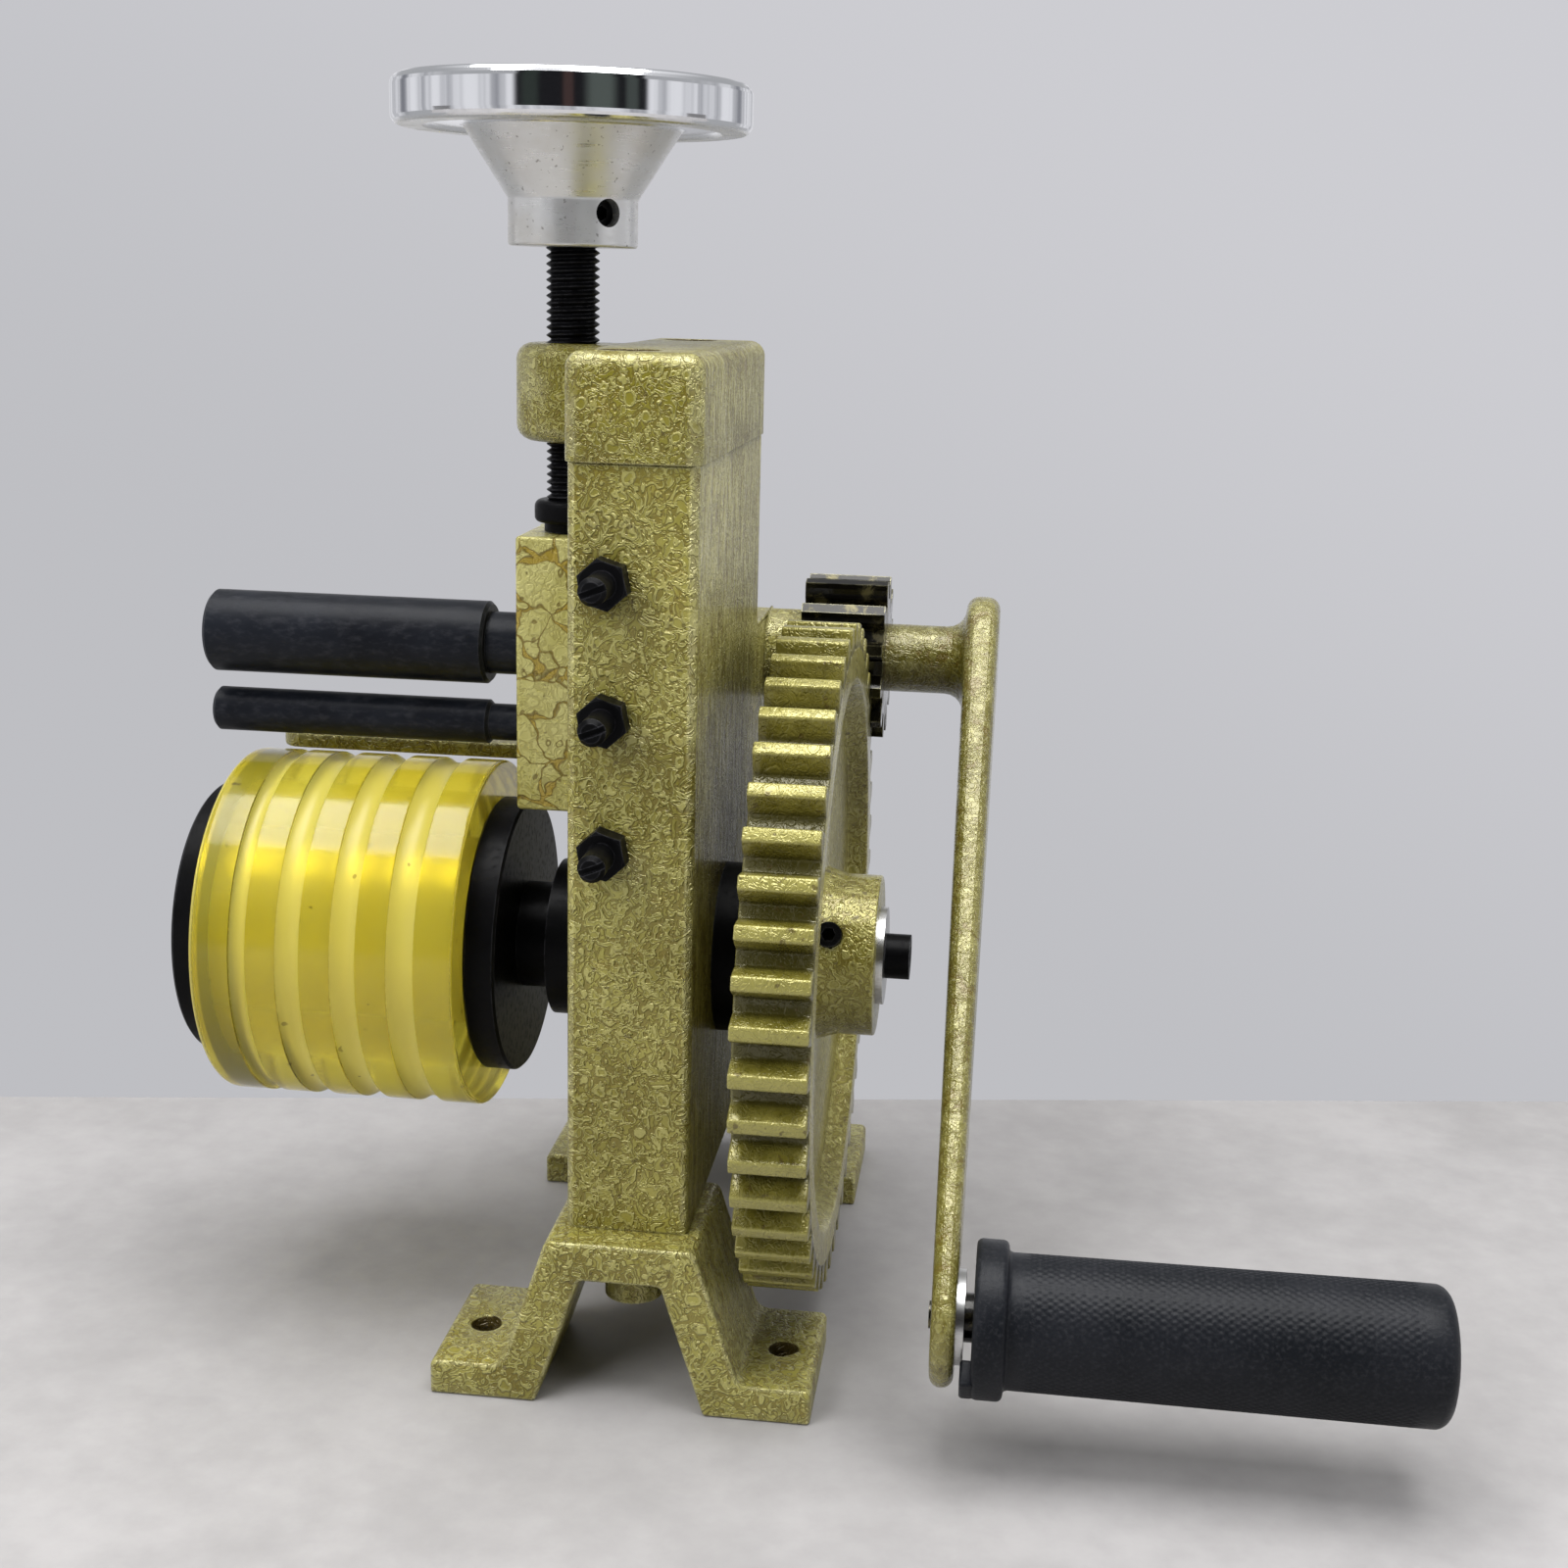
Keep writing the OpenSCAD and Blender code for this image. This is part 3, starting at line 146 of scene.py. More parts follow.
class Tree:
    """Short calls for a node tree: most put in a node or two and return an output."""

    def __init__(self, tree):
        self.tree = tree
        self.nodes = tree.nodes
        self.nodes.clear()

    def add(self, kind, inputs=None, **settings):
        node = self.nodes.new(kind)
        for key, value in settings.items():
            setattr(node, key, value)
        for key, value in (inputs or {}).items():
            self.put(node.inputs[key], value)
        return node

    def put(self, socket, value):
        if isinstance(value, bpy.types.NodeSocket):
            self.tree.links.new(value, socket)
        else:
            socket.default_value = value

    def place(self):
        return self.add("ShaderNodeTexCoord").outputs["Object"]

    def normal(self):
        return self.add("ShaderNodeNewGeometry").outputs["Normal"]

    def split(self, vector):
        return list(self.add("ShaderNodeSeparateXYZ", {0: vector}).outputs)

    def chances(self, colour):
        """Three chance values, from the random colour of a cell."""
        return self.add("ShaderNodeSeparateColor", {0: colour}).outputs

    def math(self, operation, a, b=0.0, clamp=False):
        node = self.add("ShaderNodeMath", {0: a, 1: b}, operation=operation, use_clamp=clamp)
        return node.outputs[0]

    def plus(self, a, b, clamp=False):
        return self.math("ADD", a, b, clamp)

    def minus(self, a, b):
        return self.math("SUBTRACT", a, b)

    def times(self, a, b, clamp=False):
        return self.math("MULTIPLY", a, b, clamp)

    def absolute(self, value):
        return self.math("ABSOLUTE", value)

    def distance(self, a, b):
        return self.math("SQRT", self.plus(self.times(a, a), self.times(b, b)))

    def step(self, value, low, high, to_low=0.0, to_high=1.0):
        ends = {"Value": value, "From Min": low, "From Max": high,
                "To Min": to_low, "To Max": to_high}
        return self.add("ShaderNodeMapRange", ends, interpolation_type="SMOOTHSTEP").outputs[0]

    def band(self, value, middle, half):
        """1 at the middle value, and 0 from half away."""
        return self.step(self.absolute(self.minus(value, middle)), half, half * 0.35)

    def mix(self, factor, a, b):
        return self.add("ShaderNodeMix", {0: factor, 6: a, 7: b}, data_type="RGBA").outputs[2]

    def vector(self, operation, a, b):
        return self.add("ShaderNodeVectorMath", {0: a, 1: b}, operation=operation).outputs[0]

    def noise(self, vector, scale, detail=2.0, rough=0.5, distortion=0.0, output=0):
        values = {"Vector": vector, "Scale": scale, "Detail": detail,
                  "Roughness": rough, "Distortion": distortion}
        return self.add("ShaderNodeTexNoise", values).outputs[output]

    def warped(self, vector, scale, reach):
        """The place, shaken by a noise of this scale by up to half of reach."""
        shake = self.vector("SUBTRACT", self.noise(vector, scale, output=1), (0.5, 0.5, 0.5))
        return self.vector("ADD", vector, self.vector("MULTIPLY", shake, (reach, reach, reach)))

    def voronoi(self, vector, scale, feature="F1"):
        values = {"Vector": vector, "Scale": scale}
        return self.add("ShaderNodeTexVoronoi", values, feature=feature).outputs

    def bump(self, height, strength, distance):
        values = {"Height": height, "Strength": strength, "Distance": distance}
        return self.add("ShaderNodeBump", values).outputs[0]

    def group(self, group, **values):
        node = self.add("ShaderNodeGroup", node_tree=group)
        for key, value in values.items():
            self.put(node.inputs[key.capitalize()], value)
        return node.outputs


def new_group(name, inputs, outputs):
    group = bpy.data.node_groups.new(name, "ShaderNodeTree")
    kind = "NodeSocketFloat"
    for label, value in inputs.items():
        socket = group.interface.new_socket(label, in_out="INPUT", socket_type=kind)
        socket.default_value = value
    for label in outputs:
        group.interface.new_socket(label, in_out="OUTPUT", socket_type=kind)
    t = Tree(group)
    return group, t, t.add("NodeGroupInput").outputs, t.add("NodeGroupOutput").inputs


def new_material(name, **sockets):
    material = bpy.data.materials.new(name)
    material.use_nodes = True
    t = Tree(material.node_tree)
    shader = t.add("ShaderNodeBsdfPrincipled")
    for key, value in sockets.items():
        shader.inputs[key.replace("_", " ")].default_value = value
    t.put(t.add("ShaderNodeOutputMaterial").inputs["Surface"], shader.outputs[0])
    return material, t, shader.inputs


def make_edge_patches():
    """Mask of edges, where a rounded normal leaves the true one, broken up by noise."""
    group, t, given, out = new_group("edge_patches", {"Radius": 0.001, "Amount": 0.5}, ["Mask"])
    soft = t.add("ShaderNodeBevel", {"Radius": given["Radius"]}, samples=4).outputs[0]
    dot = t.add("ShaderNodeVectorMath", {0: soft, 1: t.normal()}, operation="DOT_PRODUCT")
    bend = t.step(t.minus(1.0, dot.outputs["Value"]), 0.015, 0.13)
    patch = t.step(t.noise(t.place(), 140.0, 4.0, 0.7), 0.34, 0.60)
    t.put(out["Mask"], t.times(t.times(bend, patch), given["Amount"], clamp=True))
    return group


def make_hammer_marks():
    """Marks of hammered enamel: rings and curls, each a ridge beside a groove; the ridges are
    painted pale as highlight and the grooves dark as shade.
    """
    group, t, given, out = new_group(
        "hammer_marks", {"Scale": 250.0}, ["Ridge", "Groove", "Height", "Tone"])
    place = t.place()
    cell = t.voronoi(t.warped(place, 260.0, 0.0034), given["Scale"])
    chance = t.chances(cell["Color"])
    reach = t.plus(t.times(chance[0], 0.26), 0.14)
    past = t.minus(cell["Distance"], reach)
    present = t.step(chance[1], 0.52, 0.58)
    ring = t.times(present, t.band(past, 0.0, 0.09))
    moat = t.times(present, t.band(past, 0.14, 0.09))
    inside = t.times(present, t.step(past, 0.0, -0.10))
    outside = t.minus(1.0, t.plus(ring, inside, clamp=True))
    swirl = t.noise(place, t.times(given["Scale"], 1.5), 1.0, 0.5, 1.8)
    pale = t.times(outside, t.band(swirl, 0.57, 0.075))
    dark = t.times(outside, t.band(swirl, 0.44, 0.075))
    ridge = t.plus(ring, pale, clamp=True)
    groove = t.plus(t.times(moat, 0.7), dark, clamp=True)
    grain = t.noise(place, t.times(given["Scale"], 4.0))
    rise = t.minus(t.times(ridge, 0.9), t.times(groove, 0.8))
    rise = t.plus(rise, t.times(inside, 0.4))
    t.put(out["Ridge"], ridge)
    t.put(out["Groove"], groove)
    t.put(out["Height"], t.plus(rise, t.times(grain, 0.3)))
    t.put(out["Tone"], t.noise(place, 26.0, 4.0, 0.62))
    return group


def make_fine_marks():
    """Dust and handling marks for metal and rubber, drawn out along X by the stretch."""
    group, t, given, out = new_group(
        "fine_marks", {"Scale": 400.0, "Stretch": 1.0}, ["Mask", "Cloud"])
    place = t.place()
    pull = t.add("ShaderNodeCombineXYZ", {0: 1.0, 1: given["Stretch"], 2: given["Stretch"]})
    drawn = t.vector("MULTIPLY", place, pull.outputs[0])
    t.put(out["Mask"], t.step(t.noise(drawn, given["Scale"], 5.0, 0.65), 0.45, 0.72))
    t.put(out["Cloud"], t.noise(place, 35.0, 4.0, 0.6))
    return group


EDGE_PATCHES = make_edge_patches()
HAMMER_MARKS = make_hammer_marks()
FINE_MARKS = make_fine_marks()


def edge_mask(t, radius, amount):
    return t.group(EDGE_PATCHES, radius=radius, amount=amount)["Mask"]


def paint_colour(t, marks, deep, mid, strength):
    """Colour of the hammered paint from its marks: its own tones, with painted shade in the grooves
    and painted highlight on the ridges.
    """
    base = t.mix(t.step(marks["Tone"], 0.30, 0.70), deep, mid)
    # Painted shade in the grooves and painted highlight on the ridges of the relief
    base = t.mix(t.times(marks["Groove"], 0.55 * strength), base, DARK_OCHRE)
    base = t.mix(t.times(marks["Ridge"], 0.40 * strength), base, PALE_OLIVE)
    speck = t.step(t.noise(t.place(), 430.0, 1.0), 0.70, 0.75)
    return t.mix(t.times(speck, 0.6), base, SPECK_AND_SHADE_BROWN)


def relief(t, shader, height, strength, distance):
    """Relief of the paint and of the gloss that lies on it."""
    normal = t.bump(height, strength, distance)
    t.put(shader["Normal"], normal)
    t.put(shader["Coat Normal"], normal)


def roller_radius(t):
    """Distance from the axis of the roller and the drive gear, in metres."""
    _, y, z = t.split(t.place())
    return t.distance(t.minus(y, AXIS_Y * MM), t.minus(z, ROLLER_Z * MM))


def rounding(t):
    """Mask of the frame's round edges at its front and sides, where painted highlight makes the
    paint pale.
    """
    x, y, z = t.split(t.normal())
    across, over = t.absolute(t.times(x, y)), t.absolute(t.times(y, z))
    patch = t.step(t.noise(t.place(), 90.0, 4.0, 0.7), 0.32, 0.58)
    return t.times(patch, t.step(t.plus(across, over), 0.12, 0.42))


def shaded_hole_walls(t, middle, place, radius):
    """Mask of the walls of upright holes mirrored about a middle, which get painted shade."""
    x, y, _ = t.split(t.place())
    off = []
    for value, centre, out in zip((x, y), middle, place):
        off.append(t.minus(t.absolute(t.minus(value, centre * MM)), out * MM))
    return t.step(t.distance(*off), (radius + 0.3) * MM, (radius + 0.1) * MM)


def hammered_enamel(name, scale, deep, mid, ochre, holes):
    """Paint of the frame: pale islands and curls, streaks down the crank side, pale edges from wear
    and painted highlight, and hole walls in painted shade.
    """
    material, t, shader = new_material(name, Metallic=0.30, Coat_Roughness=0.12)
    place = t.place()
    marks = t.group(HAMMER_MARKS, scale=scale)
    base = paint_colour(t, marks, deep, mid, 1.0)
    stain = t.step(t.noise(place, 60.0, 6.0, 0.72), 0.55, 0.74)
    base = t.mix(t.times(stain, ochre), base, OCHRE)
    crank_side = t.step(t.split(t.normal())[0], 0.45, 0.90)
    run = t.noise(t.vector("MULTIPLY", place, (1.0, 1.0, 0.30)), 210.0, 4.0, 0.62)
    base = t.mix(t.times(crank_side, t.step(run, 0.50, 0.66, 0.0, 0.60)), base, PALE_OLIVE)
    base = t.mix(t.times(crank_side, t.step(run, 0.45, 0.34, 0.0, 0.70)), base, DARK_OCHRE)
    # Edges are paled by wear and painted highlight, and the round front and side edges by painted
    # highlight alone
    wear_and_highlight = edge_mask(t, 0.0012, 0.60)
    base = t.mix(t.plus(wear_and_highlight, t.times(rounding(t), 0.30), clamp=True), base, WORN_AND_HIGHLIGHT_OLIVE)
    # Painted shade: the walls of the holes are darkened
    t.put(shader["Base Color"], t.mix(shaded_hole_walls(t, *holes), base, SPECK_AND_SHADE_BROWN))
    t.put(shader["Roughness"], t.step(marks["Tone"], 0.3, 0.7, 0.40, 0.30))
    t.put(shader["Coat Weight"], t.step(crank_side, 0.0, 1.0, 0.42, 0.18))
    height = t.plus(marks["Height"], t.times(crank_side, t.times(run, 5.0)))
    relief(t, shader, height, 0.75, 0.0006)
    return material


def slide_enamel():
    """Paint of the slide: wide pale patches between ochre veins, with small rings and dots."""
    material, t, shader = new_material(
        "slide_enamel", Metallic=0.25, Coat_Weight=0.40, Coat_Roughness=0.14)
    place = t.place()
    marks = t.group(HAMMER_MARKS, scale=170.0)
    base = paint_colour(t, marks, MID_OLIVE, PALE_OLIVE, 0.50)
    cell = t.voronoi(t.warped(place, 80.0, 0.014), 85.0, "DISTANCE_TO_EDGE")
    where = t.step(t.noise(place, 40.0), 0.42, 0.50)
    width = t.times(where, t.step(t.noise(place, 95.0), 0.42, 0.68, 0.004, 0.085))
    past = t.minus(cell["Distance"], width)
    vein = t.times(where, t.step(past, 0.012, -0.012))
    border = t.times(where, t.band(past, 0.0, 0.028))
    base = t.mix(t.times(vein, 0.85), base, OCHRE)
    base = t.mix(t.times(border, 0.75), base, DARK_OCHRE)
    dot = t.voronoi(t.warped(place, 200.0, 0.003), 260.0)
    present = t.step(t.chances(dot["Color"])[0], 0.72, 0.76)
    ring = t.times(present, t.band(dot["Distance"], 0.24, 0.09))
    base = t.mix(t.times(ring, 0.75), base, DARK_OCHRE)
    t.put(shader["Base Color"], t.mix(edge_mask(t, 0.0014, 0.8), base, WORN_AND_HIGHLIGHT_OLIVE))
    t.put(shader["Roughness"], t.step(vein, 0.0, 1.0, 0.36, 0.26))
    relief(t, shader, t.minus(marks["Height"], t.plus(vein, ring)), 0.35, 0.0005)
    return material


def gear_enamel():
    """Glossy paint of the gear: tips pale from wear and painted highlight, golden flanks and roots
    darkened with painted shade.
    """
    material, t, shader = new_material(
        "gear_enamel", Metallic=0.35, Coat_Weight=0.45, Coat_Roughness=0.10)
    place = t.place()
    radius = roller_radius(t)
    marks = t.group(HAMMER_MARKS, scale=190.0)
    base = paint_colour(t, marks, DEEP_OLIVE, MID_OLIVE, 0.9)
    toothed = t.step(radius, (GEAR_ROOT_R - 0.5) * MM, (GEAR_ROOT_R - 0.2) * MM)
    cloud = t.noise(place, 120.0, 5.0, 0.7)
    # Painted shade: the toothed ring is darkened to the flank tones
    flank = t.mix(t.step(cloud, 0.35, 0.65), FLANK_SHADE_DEEP, FLANK_SHADE_MID)
    base = t.mix(t.times(toothed, 0.85), base, flank)
    # Painted shade, deepening towards the roots between the teeth
    depth = t.step(radius, (GEAR_ROOT_R + 3.4) * MM, GEAR_ROOT_R * MM)
    base = t.mix(t.times(t.times(toothed, depth), 0.9), base, ROOT_SHADE)
    # The tips are lightened by wear and by painted highlight
    tip = t.step(radius, (GEAR_TIP_R - 0.9) * MM, (GEAR_TIP_R - 0.3) * MM)
    base = t.mix(t.times(tip, t.step(cloud, 0.25, 0.45, 0.35, 0.80)), base, TIP_WEAR_AND_HIGHLIGHT)
    base = t.mix(edge_mask(t, 0.0009, 0.9), base, WORN_AND_HIGHLIGHT_OLIVE)
    chip = t.step(t.noise(place, 330.0), 0.66, 0.72)
    t.put(shader["Base Color"], t.mix(t.times(chip, 0.7), base, SPECK_AND_SHADE_BROWN))
    t.put(shader["Roughness"], t.step(cloud, 0.3, 0.7, 0.24, 0.36))
    relief(t, shader, marks["Height"], 0.40, 0.0005)
    return material


def crank_enamel():
    """Glossy, crinkled paint of the crank, with painted shade in brown along its edges."""
    material, t, shader = new_material(
        "crank_enamel", Metallic=0.25, Coat_Weight=0.55, Coat_Roughness=0.09)
    marks = t.group(HAMMER_MARKS, scale=230.0)
    base = paint_colour(t, marks, CRANK_DEEP, CRANK_MID, 0.5)
    crinkle = t.noise(t.warped(t.place(), 120.0, 0.008), 150.0, 4.0, 0.62, 0.8)
    base = t.mix(t.step(crinkle, 0.50, 0.72, 0.0, 0.26), base, PALE_OLIVE)
    base = t.mix(t.step(crinkle, 0.44, 0.36, 0.0, 0.70), base, DARK_OCHRE)
    # Painted shade: the edges are darkened in brown
    t.put(shader["Base Color"], t.mix(edge_mask(t, 0.0020, 0.45), base, SPECK_AND_SHADE_BROWN))
    t.put(shader["Roughness"], t.step(crinkle, 0.3, 0.7, 0.34, 0.20))
    height = t.plus(t.times(marks["Height"], 0.2), t.times(crinkle, 2.0))
    relief(t, shader, height, 0.55, 0.0008)
    return material


def dark_metal(name, dark, pale, rough, marks, shine, stretch, scratched):
    """Black metal with faint marks, drawn out along X by stretch and paler where scratched."""
    material, t, shader = new_material(name, Specular_IOR_Level=shine)
    cover = t.group(FINE_MARKS, scale=marks, stretch=stretch)
    base = t.mix(t.step(cover["Cloud"], 0.3, 0.7), dark, pale)
    base = t.mix(t.times(cover["Mask"], scratched), base, RUBBED_BLACK)
    t.put(shader["Base Color"], t.mix(edge_mask(t, 0.0006, 0.5), base, RUBBED_BLACK))
    t.put(shader["Roughness"], t.plus(t.times(cover["Mask"], 0.16), rough))
    t.put(shader["Normal"], t.bump(cover["Mask"], 0.12, 0.0002))
    return material


def oily_steel():
    """Steel of the pinion under old oil: a black film, rubbed off to olive metal in places."""
    material, t, shader = new_material("oily_steel", Metallic=0.5, Specular_IOR_Level=0.6)
    film = t.noise(t.warped(t.place(), 90.0, 0.010), 110.0, 5.0, 0.62)
    base = t.mix(t.step(film, 0.50, 0.68), OIL_FILM, OILED_STEEL)
    t.put(shader["Base Color"], t.mix(edge_mask(t, 0.0008, 0.6), base, RUBBED_STEEL))
    t.put(shader["Roughness"], t.step(film, 0.35, 0.65, 0.10, 0.30))
    t.put(shader["Normal"], t.bump(film, 0.25, 0.0006))
    return material


def bright_metal(name, colour, dull, rough):
    """Bare metal with fine marks along X that dull it."""
    material, t, shader = new_material(name, Metallic=1.0)
    cover = t.group(FINE_MARKS, scale=300.0, stretch=6.0)
    t.put(shader["Base Color"], t.mix(t.times(cover["Mask"], 0.6), colour, dull))
    t.put(shader["Roughness"], t.plus(t.times(cover["Cloud"], 0.18), rough))
    return material


def wheel_chrome():
    """Mirror plate on the rim, satin and pitted on the cone and hub."""
    material, t, shader = new_material("wheel_chrome")
    place = t.place()
    rim = t.step(t.split(place)[2], CONE_TOP * MM, RIM_BOTTOM * MM)
    cover = t.group(FINE_MARKS, scale=160.0)
    turned = t.noise(t.vector("MULTIPLY", place, (0.3, 0.3, 6.0)), 300.0, 3.0)
    pits = t.step(t.noise(place, 700.0), 0.66, 0.74)
    satin = t.mix(t.step(cover["Cloud"], 0.35, 0.7), SATIN_PLATE, STAINED_PLATE)
    satin = t.mix(t.times(pits, 0.6), satin, PLATE_PIT)
    t.put(shader["Base Color"], t.mix(rim, satin, MIRROR_PLATE))
    t.put(shader["Metallic"], t.step(rim, 0.0, 1.0, 0.82, 1.0))
    dull = t.plus(t.times(cover["Mask"], 0.10), t.step(turned, 0.2, 0.8, 0.17, 0.29))
    t.put(shader["Roughness"], t.plus(t.times(dull, t.minus(1.0, rim)), 0.075))
    return material


def clear_urethane():
    """Cast yellow urethane: clear enough for the core to show, with ground, paler grooves."""
    material, t, shader = new_material("clear_urethane", IOR=1.45)
    place = t.place()
    cloud = t.step(t.noise(place, 26.0, 4.0, 0.6), 0.3, 0.7)
    base = t.mix(cloud, DEEP_YELLOW, CLEAR_YELLOW)
    end_on = t.absolute(t.split(t.normal())[0])
    ground = t.step(roller_radius(t), (ROLLER_R - 0.1) * MM, (ROLLER_R - 0.4) * MM)
    ground = t.times(ground, t.step(end_on, 0.90, 0.75))
    base = t.mix(t.times(ground, 0.6), base, GROUND_YELLOW)
    nick = t.step(t.noise(place, 240.0, 1.0), 0.74, 0.77)
    t.put(shader["Base Color"], t.mix(t.times(nick, 0.7), base, NICK_BROWN))
    scuff = t.group(FINE_MARKS, scale=220.0, stretch=4.0)["Mask"]
    rough = t.plus(t.times(scuff, 0.10), t.times(ground, 0.22))
    t.put(shader["Roughness"], t.plus(rough, 0.12))
    t.put(shader["Transmission Weight"], t.step(ground, 0.0, 1.0, 0.80, 0.66))
    return material


def grip_rubber():
    """Black rubber with fine dust."""
    material, t, shader = new_material("grip_rubber", Specular_IOR_Level=0.15)
    cover = t.group(FINE_MARKS, scale=900.0)
    base = t.mix(t.step(cover["Cloud"], 0.3, 0.7), RUBBER_DARK, RUBBER_PALE)
    t.put(shader["Base Color"], t.mix(t.times(cover["Mask"], 0.25), base, RUBBER_DUST))
    t.put(shader["Roughness"], t.plus(t.times(cover["Mask"], 0.16), 0.38))
    t.put(shader["Normal"], t.bump(cover["Mask"], 0.2, 0.0002))
    return material


ENAMEL = hammered_enamel("hammered_enamel", 175.0, DEEP_OLIVE, MID_OLIVE, 0.25, BENCH_HOLES)
CAP_ENAMEL = hammered_enamel("cap_enamel", 215.0, CAP_DEEP, CAP_MID, 0.40, CAP_HOLES)
SLIDE_ENAMEL = slide_enamel()
GEAR_ENAMEL = gear_enamel()
CRANK_ENAMEL = crank_enamel()
BLACK_OXIDE = dark_metal("black_oxide", OXIDE_DARK, OXIDE_PALE, rough=0.34, marks=500.0,
                         shine=0.07, stretch=1.0, scratched=0.0)
MANDREL_BLACK = dark_metal("mandrel_black", MANDREL_DARK, MANDREL_PALE, rough=0.36, marks=240.0,
                           shine=0.13, stretch=2.0, scratched=0.16)
OILY_STEEL = oily_steel()
BRIGHT_STEEL = bright_metal("bright_steel", STEEL, DULL_STEEL, 0.20)
BRONZE = bright_metal("bush_bronze", BUSH_BRONZE, DULL_BRONZE, 0.28)
CHROME = wheel_chrome()
URETHANE = clear_urethane()
RUBBER = grip_rubber()


def new_piece(name, mesh, material, body, replaced):
    piece = bpy.data.objects.new(name, mesh)
    scene.collection.objects.link(piece)
    mesh.materials.clear()
    mesh.materials.append(material)
    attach(piece, body)
    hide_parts(replaced)


def shaded(mesh, angle):
    mesh.shade_smooth()
    mesh.set_sharp_from_angle(angle=math.radians(angle))
    return mesh


def whole_faces(node):
    """A copy of the node's solid, with the triangles of each flat face joined."""
    source = nodes[node].data
    mesh = bpy.data.meshes.new(node + "_cast")
    places = [v.co.copy() for v in source.vertices]
    mesh.from_pydata(places, [], [list(p.vertices) for p in source.polygons])
    bm = bmesh.new()
    bm.from_mesh(mesh)
    bmesh.ops.remove_doubles(bm, verts=bm.verts, dist=WELD)
    bmesh.ops.dissolve_limit(bm, angle_limit=FLAT_ANGLE, verts=bm.verts, edges=bm.edges)
    return mesh, bm


def bent_edges(bm, angle):
    """Edges between two faces that meet at more than this angle."""
    return [e for e in bm.edges if len(e.link_faces) == 2 and e.calc_face_angle(0.0) > angle]


def line_gap(point, start, end):
    """Distance from a point to the edge between start and end."""
    foot, along = intersect_point_line(point, start, end)
    if not 0 < along < 1:
        foot = start if along <= 0 else end
    return (point - foot).length


def folded_faces(bm):
    """Faces that a rounding too wide for its place has turned over."""
    bm.normal_update()
    return [min(e.link_faces, key=lambda f: f.calc_area()) for e in bent_edges(bm, FOLD_ANGLE)]


def edges_beside(faces, ends, reach):
    """Edges near these faces: the short ones, as of a bore, or else the long ones."""
    found = set()
    for face in faces:
        near = {i for i, (a, b) in ends.items()
                if any(line_gap(v.co, a, b) < reach for v in face.verts)}
        short = {i for i in near if (ends[i][0] - ends[i][1]).length < SHORT_EDGE}
        found |= short or near
    return found


def softened(node, width, material, body, smooth=40.0):
    """The node's own solid with its sharp edges rounded, as thick paint rounds a casting.

    Edges without room for it, such as those where small bores cross, stay sharp.
    """
    mesh, solid = whole_faces(node)
    left_sharp = set()
    for _ in range(ROUNDING_TRIES):
        bm = solid.copy()
        bm.edges.index_update()
        edges = [e for e in bent_edges(bm, SHARP_ANGLE) if e.index not in left_sharp]
        ends = {e.index: [v.co.copy() for v in e.verts] for e in edges}
        bmesh.ops.bevel(bm, geom=edges, offset=width * MM, offset_type="OFFSET", segments=3,
                        profile=0.5, affect="EDGES", clamp_overlap=False, loop_slide=True)
        bmesh.ops.remove_doubles(bm, verts=bm.verts, dist=WELD)
        folds = folded_faces(bm)
        left_sharp |= edges_beside(folds, ends, 1.5 * width * MM)
        bm.to_mesh(mesh)
        bm.free()
        if not folds:
            break
    solid.free()
    new_piece(node + "_cast", shaded(mesh, smooth), material, body, node)


def make_castings():
    """Painted castings, each with the width of its rounded edges in millimetres."""
    softened("front_foot", 1.2, ENAMEL, "frame")
    softened("rear_foot", 1.2, ENAMEL, "frame")
    softened("column", 0.9, ENAMEL, "frame")
    softened("top_cap", 0.5, CAP_ENAMEL, "frame", smooth=35.0)
    softened("strip_rest", 0.9, ENAMEL, "frame")
    softened("slide_block", 1.1, SLIDE_ENAMEL, "slide")
    softened("drive_gear", 0.6, GEAR_ENAMEL, "roller")


def turned_skin(name, stations, around, radius_at, place, closed):
    """A turned skin: a ring of points at each station, with a radius that may change round it.

    A closed skin joins its last ring to its first. An open one has a flat face at each end.
    """
    rows = len(stations)
    verts, faces = [], []
    for i, station in enumerate(stations):
        for k in range(around):
            angle = 2 * math.pi * k / around
            verts.append(place(station, radius_at(i, angle), angle))
    for i in range(rows if closed else rows - 1):
        for k in range(around):
            j, m = (i + 1) % rows, (k + 1) % around
            faces.append((i * around + k, i * around + m, j * around + m, j * around + k))
    if not closed:
        faces.append(tuple(range(around - 1, -1, -1)))
        faces.append(tuple(range((rows - 1) * around, rows * around)))
    mesh = bpy.data.meshes.new(name)
    mesh.from_pydata(verts, [], faces)
    bm = bmesh.new()
    bm.from_mesh(mesh)
    bmesh.ops.recalc_face_normals(bm, faces=bm.faces)
    bm.to_mesh(mesh)
    bm.free()
    return mesh


def thread_rise(turns):
    """0 at the root and 1 at the crest of a thread, from turns along it."""
    slope = abs(2 * (turns % 1.0) - 1)
    return min(1.0, max(0.0, (slope - 0.12) / 0.74))


